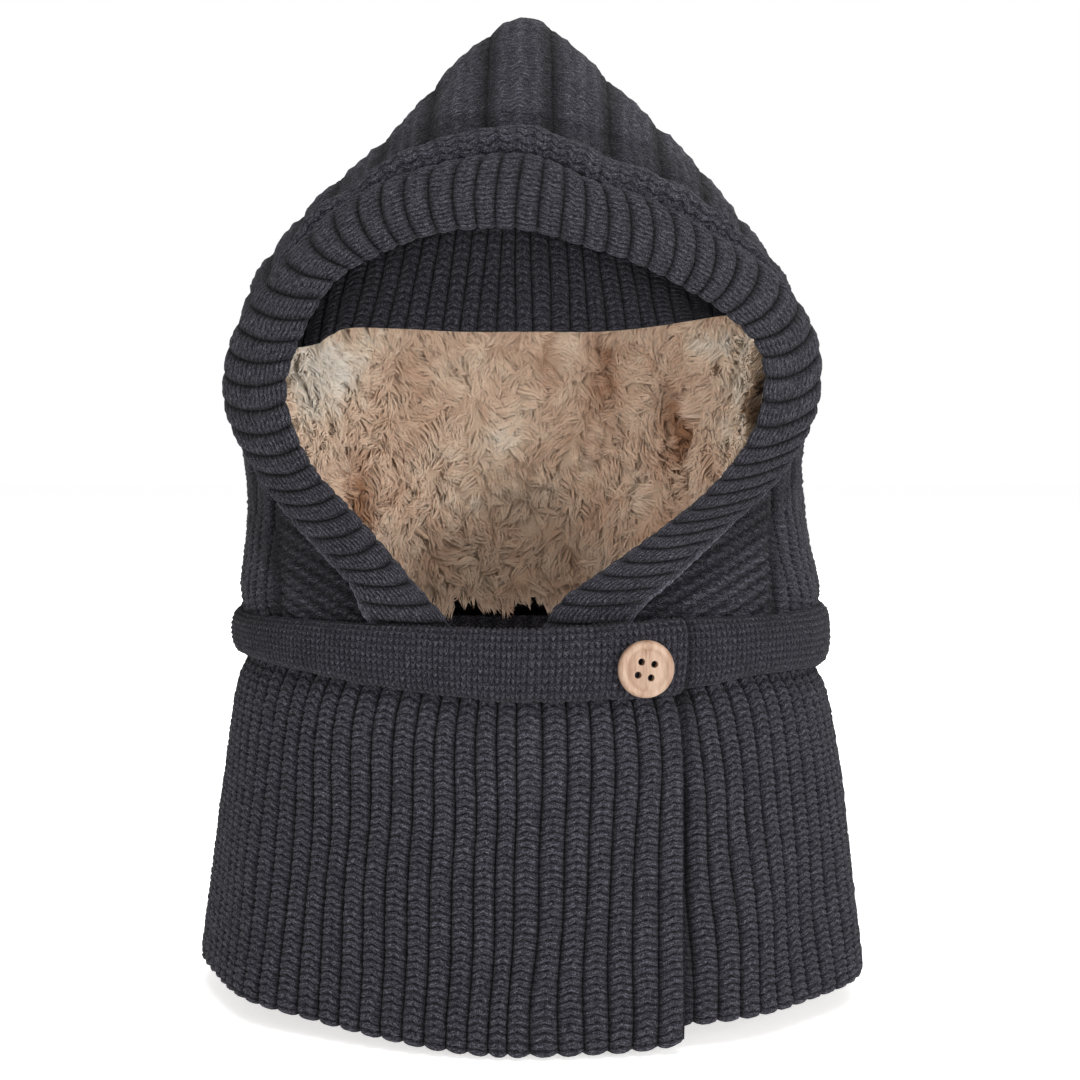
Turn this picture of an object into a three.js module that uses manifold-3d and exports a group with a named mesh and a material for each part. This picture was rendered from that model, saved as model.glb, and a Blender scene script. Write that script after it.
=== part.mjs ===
// A child's hooded knit balaclava, shown in the form it has when worn.
// Millimetres, +Z up, the face opening towards -Y, the wearer's left at +X.
// The origin is the place inside the lining where the crown of the head sits.

import * as THREE from 'three';
import { mergeVertices } from 'three/addons/utils/BufferGeometryUtils.js';
import Module from 'manifold-3d';

// Driving dimensions
const SHELL_THICK = 3.2; // rib knit of the hood
const LINING_GAP = 0.9; // between the rib knit and the fleece backing
const LINING_THICK = 7.8; // pile fabric
const CUFF_SEAT_GAP = 1.1; // between the hood and the underside of the cuff
const BAND_THICK = 4.5; // dense knit of the collar band
const BAND_SWELL = 0.6; // its rounded face over its edges
const CAPE_THICK = 3.5; // rib knit of the cape
const BROW_THICK = 3; // fine rib of the forehead band
const LAYER_GAP = 0.6; // between two layers that lap
const SHELL_CUT_BACK = 5; // hood edge, measured out from the cuff's inner edge
const LINING_CUT_BACK = 3; // lining edge, measured the same way
const SHELL_BOTTOM = -178.2;
const LINING_BOTTOM = -173;
const NOTCH_Z = -186.4; // where the cape swells out under the band
const BUTTON_DIAMETER = 17;
const BUTTON_THICK = 3.6;
const BUTTON_HOLE = 2.1;
const BUTTON_HOLE_CIRCLE = 2.65; // radius on which the four holes lie
const BUTTON_GAP = 0.3;
const BUTTON_X = 32.4;
const BUTTON_Z = -176.3;

// Horizontal sections of the hood's outside, from the peak down to the collar
const HOOD = table(['z', 'halfWidth', 'front', 'back', 'power', 'centre'], [
  [27.4, 1.5, 27, 33, 2.0, -3.0],
  [25.0, 8.0, 18, 40, 2.0, -3.0],
  [20.7, 13.5, 8, 47, 2.0, -3.0],
  [14, 20.5, -4, 55, 2.0, -3.2],
  [7, 27.5, -14, 62, 2.0, -2.9],
  [0, 34, -23, 68, 2.05, -2.5],
  [-7, 40.5, -31, 73, 2.05, -2.2],
  [-14, 48, -38, 77.5, 2.1, -2.0],
  [-21, 54.5, -45, 82, 2.1, -2.0],
  [-28, 62, -51, 86, 2.15, -3.1],
  [-35, 68.5, -56.5, 89.5, 2.15, -4.3],
  [-42, 74.5, -61.5, 92.5, 2.2, -4.3],
  [-49, 80, -66, 95, 2.2, -4.3],
  [-58, 86, -71, 97.5, 2.2, -4.3],
  [-70, 91, -75.5, 99.8, 2.2, -4.3],
  [-86, 94, -78.5, 101, 2.2, -4.3],
  [-102, 94, -79.5, 100.3, 2.2, -4.0],
  [-118, 92, -79.5, 98, 2.2, -3.5],
  [-132, 91.2, -79.5, 95, 2.2, -2.8],
  [-146, 92.6, -80, 92.3, 2.25, -2.3],
  [-156, 94.4, -81.5, 91.2, 2.25, -1.8],
  [-162, 95, -82.5, 90.4, 2.25, -1.3],
  [-165.6, 91.6, -83, 87.7, 2.25, -0.9],
  [-180, 91.5, -83, 87.5, 2.25, -0.8],
]);

// The face cuff, from its left lower end round the face to the right one: its inner
// edge, its outer edge and its thickness
const CUFF = table(['ix', 'iy', 'iz', 'ox', 'oy', 'oz', 'thick'], [
  [-21, -85.0, -171, -47, -78.4, -171, 2.8],
  [-25.3, -85.3, -164.8, -49.5, -78.4, -165, 3.6],
  [-28.6, -86.9, -160, -52.5, -80.8, -160.5, 6.5],
  [-36.7, -86.0, -151.2, -56, -78.3, -153, 8.5],
  [-46.7, -81.8, -140, -64.5, -71.3, -145.5, 9],
  [-57.9, -75.9, -128.8, -78, -58.5, -133, 9.3],
  [-67, -70.2, -119.8, -87, -47.5, -123, 9.5],
  [-74.5, -65.6, -106, -97, -36.5, -107.5, 9.5],
  [-76.2, -64.1, -93, -100, -32, -93.5, 9.5],
  [-71.4, -66.1, -79, -95.5, -37, -77, 9.5],
  [-60.5, -68.3, -62, -83, -43.5, -59.5, 9.5],
  [-44.4, -72.1, -52.7, -62, -47, -38.5, 9.5],
  [-26.1, -74.1, -47, -37, -53, -27, 9.5],
  [-3.8, -75.6, -46.3, -4, -56, -21.9, 9.5],
  [14.2, -76.9, -51.1, 18.8, -60, -30.7, 9.5],
  [29.9, -76.3, -56.1, 36, -58.5, -36, 9.5],
  [44.7, -72.9, -63.3, 56, -52, -46, 9.5],
  [59.2, -67, -72.1, 77, -38, -58.5, 9.5],
  [70.3, -60.9, -83.8, 91, -29.8, -77.5, 9.5],
  [71.3, -61.6, -99.3, 92.6, -31, -96, 9.5],
  [65, -67.2, -113.3, 88, -38.5, -109, 9.5],
  [52.9, -75.2, -126.4, 78, -51, -123, 9.3],
  [38.5, -82.3, -136.9, 62.5, -67.9, -135.3, 9],
  [21.5, -86.4, -148.4, 46, -79.5, -149, 8],
  [9.4, -87.5, -156.7, 35, -83.4, -157.5, 6],
  [4.4, -86.5, -163.5, 29, -82.8, -164.5, 4],
  [0.5, -86.3, -170, 24, -83.4, -171, 3],
]);

// The soft roll of knit that bulges behind the cuff: height over the hood, by cuff station
const ROLL = table(['station', 'halfWidth', 'height'], [
  [9.2, 2.5, 0.8],
  [10.2, 4.5, 3.6],
  [11, 5.5, 6.0],
  [12, 6, 6.6],
  [13, 6.2, 7.0],
  [14, 6.8, 7.4],
  [15, 6.8, 7.4],
  [16, 6, 6.6],
  [17, 4.5, 4.2],
  [17.9, 2.5, 0.8],
]);

// The forehead band behind the cuff: its front face from left to right
const BROW = table(['x', 'y', 'bottom'], [
  [-72.5, -41.5, -83],
  [-67, -45.5, -81.5],
  [-58, -50, -77],
  [-42, -55.5, -77],
  [-22, -59, -78],
  [0, -60, -78],
  [20, -58.5, -78],
  [36, -54.5, -76.5],
  [49, -48.5, -74.5],
  [58.5, -42.5, -73.2],
]);

// Horizontal sections of the cape's outside
const CAPE = table(['z', 'halfWidth', 'front', 'back', 'power', 'centre'], [
  [-178.8, 91.3, -87.1, 86.5, 2.25, -0.7],
  [-186.4, 91.5, -87.3, 86.7, 2.25, -0.6],
  [-188.2, 94, -89.8, 89, 2.25, -0.5],
  [-191, 96.5, -91.6, 91.2, 2.25, -0.4],
  [-200, 98, -92.6, 92.6, 2.25, -0.3],
  [-226, 101.8, -94.5, 95.5, 2.2, 0],
  [-253, 104.9, -96.3, 97.5, 2.2, 0],
  [-280, 108.5, -97.6, 99.5, 2.2, 0],
  [-292, 109.4, -98.2, 100.2, 2.2, 0],
]);
const BAND_RING = { halfWidth: 97.1, front: -92.8, back: 93.2, power: 2.25, centre: -0.8 };

// Edges of the wrapped layers round the wearer, in degrees from the front towards -X. The
// outer layer's free end comes first, and the under layer ends last, behind it.
const WRAP_START = -27.5;
const WRAP_END = 352;
const WRAP_STATIONS = 46;
const WRAP = table(['angle', 'lift', 'bandTop', 'bandBottom', 'capeTop', 'hem'], [
  [-27.5, 1, -162.6, -184.6, -185.5, -287],
  [-24, 1, -163, -184.8, -185.7, -288.6],
  [-10, 1, -164.4, -185.6, -186.5, -289.4],
  [0, 0.92, -165.2, -186, -186.9, -289.6],
  [12, 0.35, -165.4, -186, -184, -288.6],
  [20, 0.05, -165.6, -185.6, -178.8, -287.4],
  [45, 0, -166.4, -184.4, -178.8, -283.8],
  [90, 0, -167.8, -184.8, -178.8, -281.6],
  [180, 0, -166.8, -185, -178.8, -284],
  [270, 0, -166.2, -184.2, -178.8, -282.6],
  [315, 0, -164.4, -181.6, -178.8, -283],
  [330, 0, -163.6, -183.4, -178.8, -283.2],
  [352, 0, -164.4, -184.6, -178.8, -283.6],
]);

// Tables and curves

/** Rows of numbers as objects with the named columns. */
function table(names, rows) {
  return rows.map((row) => Object.fromEntries(names.map((name, i) => [name, row[i]])));
}

/**
 * A row of the table at a place between its rows, by a smooth curve through them. With a key
 * column the curve never passes above or below two neighbouring rows.
 */
function between(rows, key, place) {
  const keys = key ? rows.map((row) => row[key]) : rows.map((_, i) => i);
  const down = keys[0] > keys[keys.length - 1];
  let k = 0;
  while (k < keys.length - 2 && (down ? place < keys[k + 1] : place > keys[k + 1])) k += 1;
  const t = THREE.MathUtils.clamp((place - keys[k]) / (keys[k + 1] - keys[k]), 0, 1);
  const at = (i) => rows[THREE.MathUtils.clamp(i, 0, rows.length - 1)];
  const keyAt = (i) => keys[THREE.MathUtils.clamp(i, 0, rows.length - 1)];
  const result = {};
  for (const name of Object.keys(rows[0])) {
    const slope = (i) => (at(i + 1)[name] - at(i - 1)[name]) / (keyAt(i + 1) - keyAt(i - 1));
    const step = keys[k + 1] - keys[k];
    const [a, b] = [at(k)[name], at(k + 1)[name]];
    const limit = (value) => {
      if (!key) return value;
      return (b - a) * value <= 0 ? 0 : Math.sign(value) * Math.min(Math.abs(value), 2.8 * Math.abs(b - a));
    };
    const [u, v] = [limit(slope(k) * step), limit(slope(k + 1) * step)];
    const rise = 3 * (b - a) - 2 * u - v;
    result[name] = a + t * (u + t * (rise + t * (u + v - 2 * (b - a))));
  }
  return result;
}

/** A point of a section at an angle in degrees, measured from the front (-Y) towards +X. */
function onSection(section, angle, z, grow = 0) {
  const a = THREE.MathUtils.degToRad(angle);
  const soften = (value) => Math.sign(value) * Math.abs(value) ** (2 / section.power);
  const middle = (section.front + section.back) / 2;
  const halfDepth = (section.back - section.front) / 2;
  const x = section.centre + (section.halfWidth + grow) * soften(Math.sin(a));
  const y = middle - (halfDepth + grow) * soften(Math.cos(a));
  return new THREE.Vector3(x, y, z);
}

/** A point that lies inside (or outside, if negative) a surface given as point(angle, z). */
function sunk(point, angle, z, depth) {
  const turn = 0.6;
  const along = point(angle + turn, z).sub(point(angle - turn, z));
  const up = point(angle, z + 0.6).sub(point(angle, z - 0.6));
  const outward = along.cross(up).normalize();
  return point(angle, z).addScaledVector(outward, -depth);
}

// Closed bodies

/** A closed body from rings of points, with the first and last ring closed. */
function skin(rings, closing) {
  const count = rings[0].length;
  const positions = rings.flat().flatMap((p) => [p.x, p.y, p.z]);
  const index = [];
  for (let i = 0; i + 1 < rings.length; i += 1) {
    for (let j = 0; j < count; j += 1) {
      const k = (j + 1) % count;
      const [a, b, c, d] = [i * count + j, i * count + k, (i + 1) * count + k, (i + 1) * count + j];
      index.push(a, b, c, a, c, d);
    }
  }
  const last = (rings.length - 1) * count;
  if (closing === 'ladder') {
    // Points j and count - 1 - j of a ring face each other across the thickness
    for (let j = 0; j + 1 < count / 2; j += 1) {
      const [a, b, c, d] = [j, j + 1, count - 2 - j, count - 1 - j];
      index.push(a, c, b, a, d, c);
      index.push(last + a, last + b, last + c, last + a, last + c, last + d);
    }
  } else {
    const poles = [rings[0], rings[rings.length - 1]].map((ring) => {
      const pole = new THREE.Vector3();
      ring.forEach((p) => pole.addScaledVector(p, 1 / count));
      positions.push(pole.x, pole.y, pole.z);
      return positions.length / 3 - 1;
    });
    for (let j = 0; j < count; j += 1) {
      const k = (j + 1) % count;
      index.push(poles[0], k, j, poles[1], last + j, last + k);
    }
  }
  const geometry = new THREE.BufferGeometry();
  geometry.setAttribute('position', new THREE.Float32BufferAttribute(positions, 3));
  geometry.setIndex(index);
  return outward(geometry);
}

/** The geometry with its faces pointing out. */
function outward(geometry) {
  const p = geometry.getAttribute('position');
  const faces = geometry.getIndex().array;
  const [a, b, c] = [new THREE.Vector3(), new THREE.Vector3(), new THREE.Vector3()];
  let volume = 0;
  for (let i = 0; i < faces.length; i += 3) {
    a.fromBufferAttribute(p, faces[i]);
    b.fromBufferAttribute(p, faces[i + 1]);
    c.fromBufferAttribute(p, faces[i + 2]);
    volume += a.dot(b.cross(c));
  }
  if (volume < 0) {
    for (let i = 0; i < faces.length; i += 3) [faces[i], faces[i + 1]] = [faces[i + 1], faces[i]];
  }
  return geometry;
}

const wasm = await Module();
wasm.setup();

function toSolid(geometry) {
  const bare = geometry.clone();
  bare.deleteAttribute('normal');
  bare.deleteAttribute('uv');
  const merged = mergeVertices(bare, 1e-4);
  return new wasm.Manifold(new wasm.Mesh({
    numProp: 3,
    vertProperties: new Float32Array(merged.getAttribute('position').array),
    triVerts: new Uint32Array(merged.getIndex().array),
  }));
}

function toGeometry(solid) {
  const mesh = solid.getMesh();
  const geometry = new THREE.BufferGeometry();
  geometry.setAttribute('position', new THREE.BufferAttribute(mesh.vertProperties, 3));
  geometry.setIndex(new THREE.BufferAttribute(mesh.triVerts, 1));
  return geometry;
}

// The hood

const SHELL_SEGMENTS = 36;
const LINING_SEGMENTS = 30;
const hoodPoint = (angle, z) => onSection(between(HOOD, 'z', z), angle, z);

/** How far a point lies outside the hood, from its section there and the slope of the form. */
function outsideHood(p) {
  const form = (x, y, z) => {
    const s = between(HOOD, 'z', z);
    const middle = (s.front + s.back) / 2;
    const across = Math.abs((x - s.centre) / s.halfWidth) ** s.power;
    const along = Math.abs((2 * (y - middle)) / (s.back - s.front)) ** s.power;
    return (across + along) ** (1 / s.power);
  };
  const slope = new THREE.Vector3(
    form(p.x + 0.5, p.y, p.z) - form(p.x - 0.5, p.y, p.z),
    form(p.x, p.y + 0.5, p.z) - form(p.x, p.y - 0.5, p.z),
    form(p.x, p.y, p.z + 0.5) - form(p.x, p.y, p.z - 0.5),
  );
  const steepness = slope.length();
  return { distance: (form(p.x, p.y, p.z) - 1) / steepness, normal: slope.normalize() };
}

/** The point moved along the hood's normal until it lies the given height over the hood. */
function overHood(p, height) {
  const moved = p.clone();
  for (let i = 0; i < 6; i += 1) {
    const { distance, normal } = outsideHood(moved);
    moved.addScaledVector(normal, height - distance);
  }
  return moved;
}

/** A dome between two depths under the hood's outside, open at the bottom. */
function dome(outerDepth, innerDepth, outerLevels, innerLevels, bottom, segments) {
  const ring = (z, depth) => {
    const points = [];
    for (let j = 0; j < segments; j += 1) points.push(sunk(hoodPoint, (360 * j) / segments, z, depth));
    return points;
  };
  const flatRing = (depth) => {
    const cut = ring(bottom, depth);
    cut.forEach((p) => p.setZ(bottom));
    return cut;
  };
  return skin([
    ...outerLevels.map((z) => ring(z, outerDepth)),
    flatRing(outerDepth),
    flatRing(innerDepth),
    ...[...innerLevels].reverse().map((z) => ring(z, innerDepth)),
  ], 'pole');
}

// The face cuff

const CUFF_STATIONS = 46;
const CUTTER_FRONT = -140;
const CUTTER_BACK = -18;
// Across the cuff from its inner edge (0) to its outer edge (1), and height in thicknesses
const CUFF_FACE = table(['across', 'height'], [
  [0.0, 0.42],
  [0.03, 0.78],
  [0.14, 1.0],
  [0.5, 1.2],
  [0.84, 1.02],
  [0.97, 0.75],
  [1.0, 0.35],
]);

function cuffSection(station, face) {
  const row = between(CUFF, null, station);
  const inner = new THREE.Vector3(row.ix, row.iy, row.iz);
  const outer = new THREE.Vector3(row.ox, row.oy, row.oz);
  const top = face.map(({ across, height }) => {
    const foot = overHood(inner.clone().lerp(outer, across), CUFF_SEAT_GAP);
    const edge = inner.clone().lerp(outer, across);
    const { normal } = outsideHood(edge);
    const rise = edge.addScaledVector(normal, (height - 1) * row.thick);
    const least = overHood(rise, CUFF_SEAT_GAP + 0.3 * row.thick * height);
    return { foot, point: outsideHood(rise).distance > outsideHood(least).distance ? rise : least };
  });
  return [...top.map((t) => t.point), ...top.reverse().map((t) => t.foot)];
}

function faceCuff() {
  const rings = [];
  for (let i = 0; i <= CUFF_STATIONS; i += 1) {
    rings.push(cuffSection((i * (CUFF.length - 1)) / CUFF_STATIONS, CUFF_FACE));
  }
  return skin(rings, 'ladder');
}

/** The cuff's inner edge seen from the front, moved out by a distance and run off below. */
function openingShape(cutBack) {
  const edge = CUFF.slice(1, -1).map((row) => new THREE.Vector2(row.ix, row.iz));
  const moved = edge.map((p, i) => {
    const before = edge[Math.max(i - 1, 0)];
    const after = edge[Math.min(i + 1, edge.length - 1)];
    const along = after.clone().sub(before).normalize();
    return p.clone().add(new THREE.Vector2(-along.y, along.x).multiplyScalar(cutBack));
  });
  const smooth = new THREE.SplineCurve(moved).getPoints(40);
  const below = SHELL_BOTTOM - 20;
  const left = CUFF[0].ix - cutBack;
  const right = CUFF[CUFF.length - 1].ix + cutBack;
  return new THREE.Shape([
    new THREE.Vector2(left, below),
    new THREE.Vector2(left, CUFF[0].iz),
    ...smooth,
    new THREE.Vector2(right, CUFF[CUFF.length - 1].iz),
    new THREE.Vector2(right, below),
  ]);
}

/** A block of the opening's shape through the front of the hood. */
function openingCutter(cutBack) {
  const settings = { depth: CUTTER_BACK - CUTTER_FRONT, bevelEnabled: false };
  const block = new THREE.ExtrudeGeometry(openingShape(cutBack), settings);
  block.rotateX(Math.PI / 2); // The shape's Y becomes Z, and the depth runs to -Y
  block.translate(0, CUTTER_BACK, 0);
  return block;
}

/** The soft roll behind the cuff, sunk a little into the hood's knit. */
function roll() {
  const stations = 24;
  const shape = [[-1, -1.4], [-1, 0.4], [-0.72, 0.72], [-0.26, 1], [0.26, 1], [0.72, 0.72], [1, 0.4], [1, -1.4]];
  const [first, final] = [ROLL[0].station, ROLL[ROLL.length - 1].station];
  const rings = [];
  for (let i = 0; i <= stations; i += 1) {
    const station = first + ((final - first) * i) / stations;
    const size = between(ROLL, 'station', station);
    const row = between(CUFF, null, station);
    const inner = new THREE.Vector3(row.ix, row.iy, row.iz);
    const outer = new THREE.Vector3(row.ox, row.oy, row.oz);
    const away = outer.clone().sub(inner).normalize();
    rings.push(shape.map(([across, height]) => {
      const place = outer.clone().addScaledVector(away, 1.6 + size.halfWidth * (1 + across));
      return overHood(place, height > 0 ? height * size.height : height);
    }));
  }
  return skin(rings, 'ladder');
}

function hoodShell() {
  const outerLevels = [
    27.2, 25, 20.7, 14, 7, 0, -8, -16, -25, -35, -46, -58, -72, -92, -112, -132, -150, -162.5, -165.8,
  ];
  const innerLevels = [21, 14, 4, -8, -22, -38, -56, -78, -100, -122, -140, -152, -167];
  return toSolid(dome(0, SHELL_THICK, outerLevels, innerLevels, SHELL_BOTTOM, SHELL_SEGMENTS))
    .add(toSolid(roll()))
    .subtract(toSolid(openingCutter(SHELL_CUT_BACK)));
}

function hoodLining() {
  const outer = SHELL_THICK + LINING_GAP;
  const outerLevels = [20, 13, 4, -8, -22, -38, -56, -78, -100, -122, -140, -152, -167.5];
  const innerLevels = [10, 0, -12, -26, -42, -60, -82, -104, -126, -148];
  return toSolid(dome(outer, outer + LINING_THICK, outerLevels, innerLevels, LINING_BOTTOM, LINING_SEGMENTS))
    .subtract(toSolid(openingCutter(LINING_CUT_BACK)));
}

// The forehead band

/** Height of the opening's upper edge over a place across the face. */
function openingTop(x) {
  const upper = CUFF.slice(8, 20).map((row) => ({ x: row.ix, z: row.iz }));
  return between(upper, 'x', x).z;
}

function browBand() {
  const stations = 24;
  const rings = [];
  for (let i = 0; i <= stations; i += 1) {
    const place = (i * (BROW.length - 1)) / stations;
    const row = between(BROW, null, place);
    const next = between(BROW, null, Math.min(place + 0.05, BROW.length - 1));
    const before = between(BROW, null, Math.max(place - 0.05, 0));
    const along = new THREE.Vector3(next.x - before.x, next.y - before.y, 0).normalize();
    const back = new THREE.Vector3(-along.y, along.x, 0);
    const top = openingTop(row.x) + LINING_CUT_BACK - 1.5 * LAYER_GAP;
    const levels = [top, (top + row.bottom) / 2, row.bottom];
    const front = levels.map((z) => new THREE.Vector3(row.x, row.y, z));
    const rear = levels.map((z) => new THREE.Vector3(row.x, row.y, z).addScaledVector(back, BROW_THICK));
    rings.push([...front, ...rear.reverse()]);
  }
  return skin(rings, 'ladder');
}

// The collar band and the cape: one turn round the neck, lapped at the front

/** A wrapped layer: its outside is the section grown by the lift of the lap. */
function wrapped(stations, thick, levels, sectionAt) {
  const rings = [];
  for (let i = 0; i <= stations; i += 1) {
    const angle = WRAP_START + ((WRAP_END - WRAP_START) * i) / stations;
    const row = between(WRAP, 'angle', angle);
    const point = (turn, z) => {
      const grow = between(WRAP, 'angle', turn).lift * (thick + LAYER_GAP);
      return onSection(sectionAt(z), -turn, z, grow);
    };
    const heights = levels(row);
    const along = point(angle + 0.6, heights[0].z).sub(point(angle - 0.6, heights[0].z)).normalize();
    // The angle runs from the front towards -X
    const out = new THREE.Vector3(-along.y, along.x, 0);
    const outer = heights.map(({ z, swell }) => point(angle, z).addScaledVector(out, swell));
    const inner = heights.map(({ z }) => point(angle, z).addScaledVector(out, -thick));
    rings.push([...outer, ...inner.reverse()]);
  }
  return skin(rings, 'ladder');
}

function collarBand() {
  const shape = [[0, -1.5], [0.09, 0], [0.5, BAND_SWELL], [0.91, 0], [1, -1.5]];
  const levels = (row) => shape.map(([share, swell]) => (
    { z: row.bandTop + (row.bandBottom - row.bandTop) * share, swell }
  ));
  return wrapped(WRAP_STATIONS, BAND_THICK, levels, () => BAND_RING);
}

function cape() {
  const shares = [0, 0.1, 0.33, 0.56, 0.8, 1];
  const levels = (row) => {
    const start = Math.min(row.capeTop - 0.4, NOTCH_Z);
    const below = start - 4.6;
    const heights = [row.capeTop, start, start - 1.8, ...shares.map((share) => below + (row.hem - below) * share)];
    return heights.map((z) => ({ z, swell: 0 }));
  };
  return wrapped(WRAP_STATIONS, CAPE_THICK, levels, (z) => between(CAPE, 'z', z));
}

// The button

function button() {
  const r = BUTTON_DIAMETER / 2;
  const t = BUTTON_THICK;
  const profile = [
    [0, 0], [r - 1.2, 0], [r - 0.3, 0.5], [r, 1.4], [r - 0.1, 2.4], [r - 0.7, t - 0.3], [r - 1.5, t],
    [r - 2.3, t - 0.35], [r - 2.9, t - 0.9], [r - 3.8, t - 1.1], [0, t - 1.1],
  ].map(([x, y]) => new THREE.Vector2(x, y));
  let solid = toSolid(new THREE.LatheGeometry(profile, 24));
  for (let i = 0; i < 4; i += 1) {
    const a = THREE.MathUtils.degToRad(57 + 90 * i);
    const hole = new THREE.CylinderGeometry(BUTTON_HOLE / 2, BUTTON_HOLE / 2, 3 * t, 8);
    hole.translate(BUTTON_HOLE_CIRCLE * Math.cos(a), 0, BUTTON_HOLE_CIRCLE * Math.sin(a));
    solid = solid.subtract(toSolid(hole));
  }
  return toGeometry(solid);
}

/** The button on the free end of the collar band, its face along the band's normal. */
function placeButton(mesh) {
  const lift = BAND_THICK + LAYER_GAP;
  const place = (a) => onSection(BAND_RING, a, BUTTON_Z, lift);
  let angle = 5;
  while (place(angle).x < BUTTON_X) angle += 0.05;
  const along = place(angle + 0.5).sub(place(angle - 0.5)).normalize();
  const out = new THREE.Vector3(along.y, -along.x, 0);
  mesh.quaternion.setFromUnitVectors(new THREE.Vector3(0, 1, 0), out);
  mesh.position.copy(place(angle)).addScaledVector(out, BAND_SWELL + BUTTON_GAP);
}

// Materials and the assembly

const KNIT = { roughness: 0.95, metalness: 0 };
const charcoal = new THREE.MeshStandardMaterial({ name: 'rib_knit', color: 0x3a393f, ...KNIT });
const denseKnit = new THREE.MeshStandardMaterial({ name: 'band_knit', color: 0x353439, ...KNIT });
const fleece = new THREE.MeshStandardMaterial({ name: 'fleece', color: 0xa08c78, ...KNIT });
const wood = new THREE.MeshStandardMaterial({ name: 'button_wood', color: 0xc7aa96, roughness: 0.55, metalness: 0 });

const group = new THREE.Group();

function part(name, geometry, material) {
  const mesh = new THREE.Mesh(geometry, material);
  mesh.name = name;
  group.add(mesh);
  return mesh;
}

part('hood_shell', toGeometry(hoodShell()), charcoal);
part('hood_lining', toGeometry(hoodLining()), fleece);
part('face_cuff', faceCuff(), charcoal);
part('forehead_band', browBand(), charcoal);
part('collar_band', collarBand(), denseKnit);
part('cape', cape(), charcoal);
placeButton(part('button', button(), wood));

export default group;
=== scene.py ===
# A child's hooded knit balaclava in charcoal yarn, lined with beige pile fleece, as it stands
# when worn. Tables are in millimetres and everything built is in metres, +Z up, with the face
# opening towards -Y and the wearer's left at +X.
import math

import bpy
import numpy as np
from mathutils import Matrix, Vector


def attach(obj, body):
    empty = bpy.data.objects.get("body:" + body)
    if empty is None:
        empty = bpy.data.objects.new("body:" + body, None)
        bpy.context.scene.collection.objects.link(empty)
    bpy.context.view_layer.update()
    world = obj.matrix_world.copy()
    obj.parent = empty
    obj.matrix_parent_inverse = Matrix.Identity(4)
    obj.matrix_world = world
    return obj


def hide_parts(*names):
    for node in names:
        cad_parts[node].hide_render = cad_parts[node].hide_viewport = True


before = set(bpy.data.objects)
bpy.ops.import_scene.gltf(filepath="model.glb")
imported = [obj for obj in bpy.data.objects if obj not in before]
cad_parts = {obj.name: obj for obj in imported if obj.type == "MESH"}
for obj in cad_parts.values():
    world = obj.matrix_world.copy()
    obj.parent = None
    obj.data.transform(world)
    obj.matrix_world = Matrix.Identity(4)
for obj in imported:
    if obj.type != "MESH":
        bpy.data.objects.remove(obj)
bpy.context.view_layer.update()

MM = 0.001

# Thickness of the layers, and the gaps between them
SHELL_THICK = 3.2
LINING_GAP = 0.9
LINING_THICK = 7.8
BAND_THICK = 4.5
CAPE_THICK = 3.5
LAYER_GAP = 0.6

# Heights, widths and counts
HOOD_BOTTOM = -178.0
LINING_TOP = 24.5
LINING_BOTTOM = -173.0
WIDEST_Z = -86.0
WIDEST_HALF = 94.0  # half of the hood's width there
HOOD_LOOPS = 17  # broad ribs that run from the front over the top to the back
ROW = 2.2  # height of one row of stitches
RIB_WIDTH = 7.4  # of the cape's and the cuff's ribs
BROAD_WIDTH = 16.0  # of the hood's broad ribs
CUFF_RIBS = 60
ROLL_RIBS = 40
BROW_RIBS = 26
CAPE_RIBS = 91
BAND_STITCH = 1.85
BAND_HEIGHT = 31.0  # of the collar band laid flat
BAND_FOOT = -185.0  # its lower edge where it hangs low
CAPE_TOP = -181.0
CAPE_HEIGHT = 105.0
LAP_EDGE = 44.0  # x of the outer flap's edge
FLOOR_Z = -291.5

# Distances out from the cuff's inner edge
MOUTH_GAP = 1.2  # the lining starts here
PILE_GAP = 0.8  # and its pile here
HOOD_CUT = 9.5  # the hood starts here, under the cuff
CUFF_HIDES = 15.0  # nearer pile lies behind the cuff and is left out
CUFF_SHADE = 38.0  # the hood is shaded as far as this

# Camera
EYE = (2.1, -806.6, -83.9)
TARGET = (2.1, 0.0, -146.0)
LENS = 81.7
SENSOR_WIDTH = 36.0

HOOD = [  # z, half width, front, back, power, centre
    [27.4, 1.5, 27, 33, 2.0, -3.0], [25.0, 8.0, 18, 40, 2.0, -3.0], [20.7, 13.5, 8, 47, 2.0, -3.0],
    [14, 20.5, -4, 55, 2.0, -3.2], [7, 27.5, -14, 62, 2.0, -2.9], [0, 34, -23, 68, 2.05, -2.5],
    [-7, 40.5, -31, 73, 2.05, -2.2], [-14, 48, -38, 77.5, 2.1, -2.0],
    [-21, 54.5, -45, 82, 2.1, -2.0], [-28, 62, -51, 86, 2.15, -3.1],
    [-35, 68.5, -56.5, 89.5, 2.15, -4.3], [-42, 74.5, -61.5, 92.5, 2.2, -4.3],
    [-49, 80, -66, 95, 2.2, -4.3], [-58, 86, -71, 97.5, 2.2, -4.3],
    [-70, 91, -75.5, 99.8, 2.2, -4.3], [-86, 94, -78.5, 101, 2.2, -4.3],
    [-102, 94, -79.5, 100.3, 2.2, -4.0], [-118, 92, -79.5, 98, 2.2, -3.5],
    [-132, 91.2, -79.5, 95, 2.2, -2.8], [-146, 92.6, -80, 92.3, 2.25, -2.3],
    [-156, 94.4, -81.5, 91.2, 2.25, -1.8], [-162, 95, -82.5, 90.4, 2.25, -1.3],
    [-168.5, 94, -83.6, 88.8, 2.25, -0.9], [-180, 93.6, -83.4, 88.6, 2.25, -0.8],
]
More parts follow.
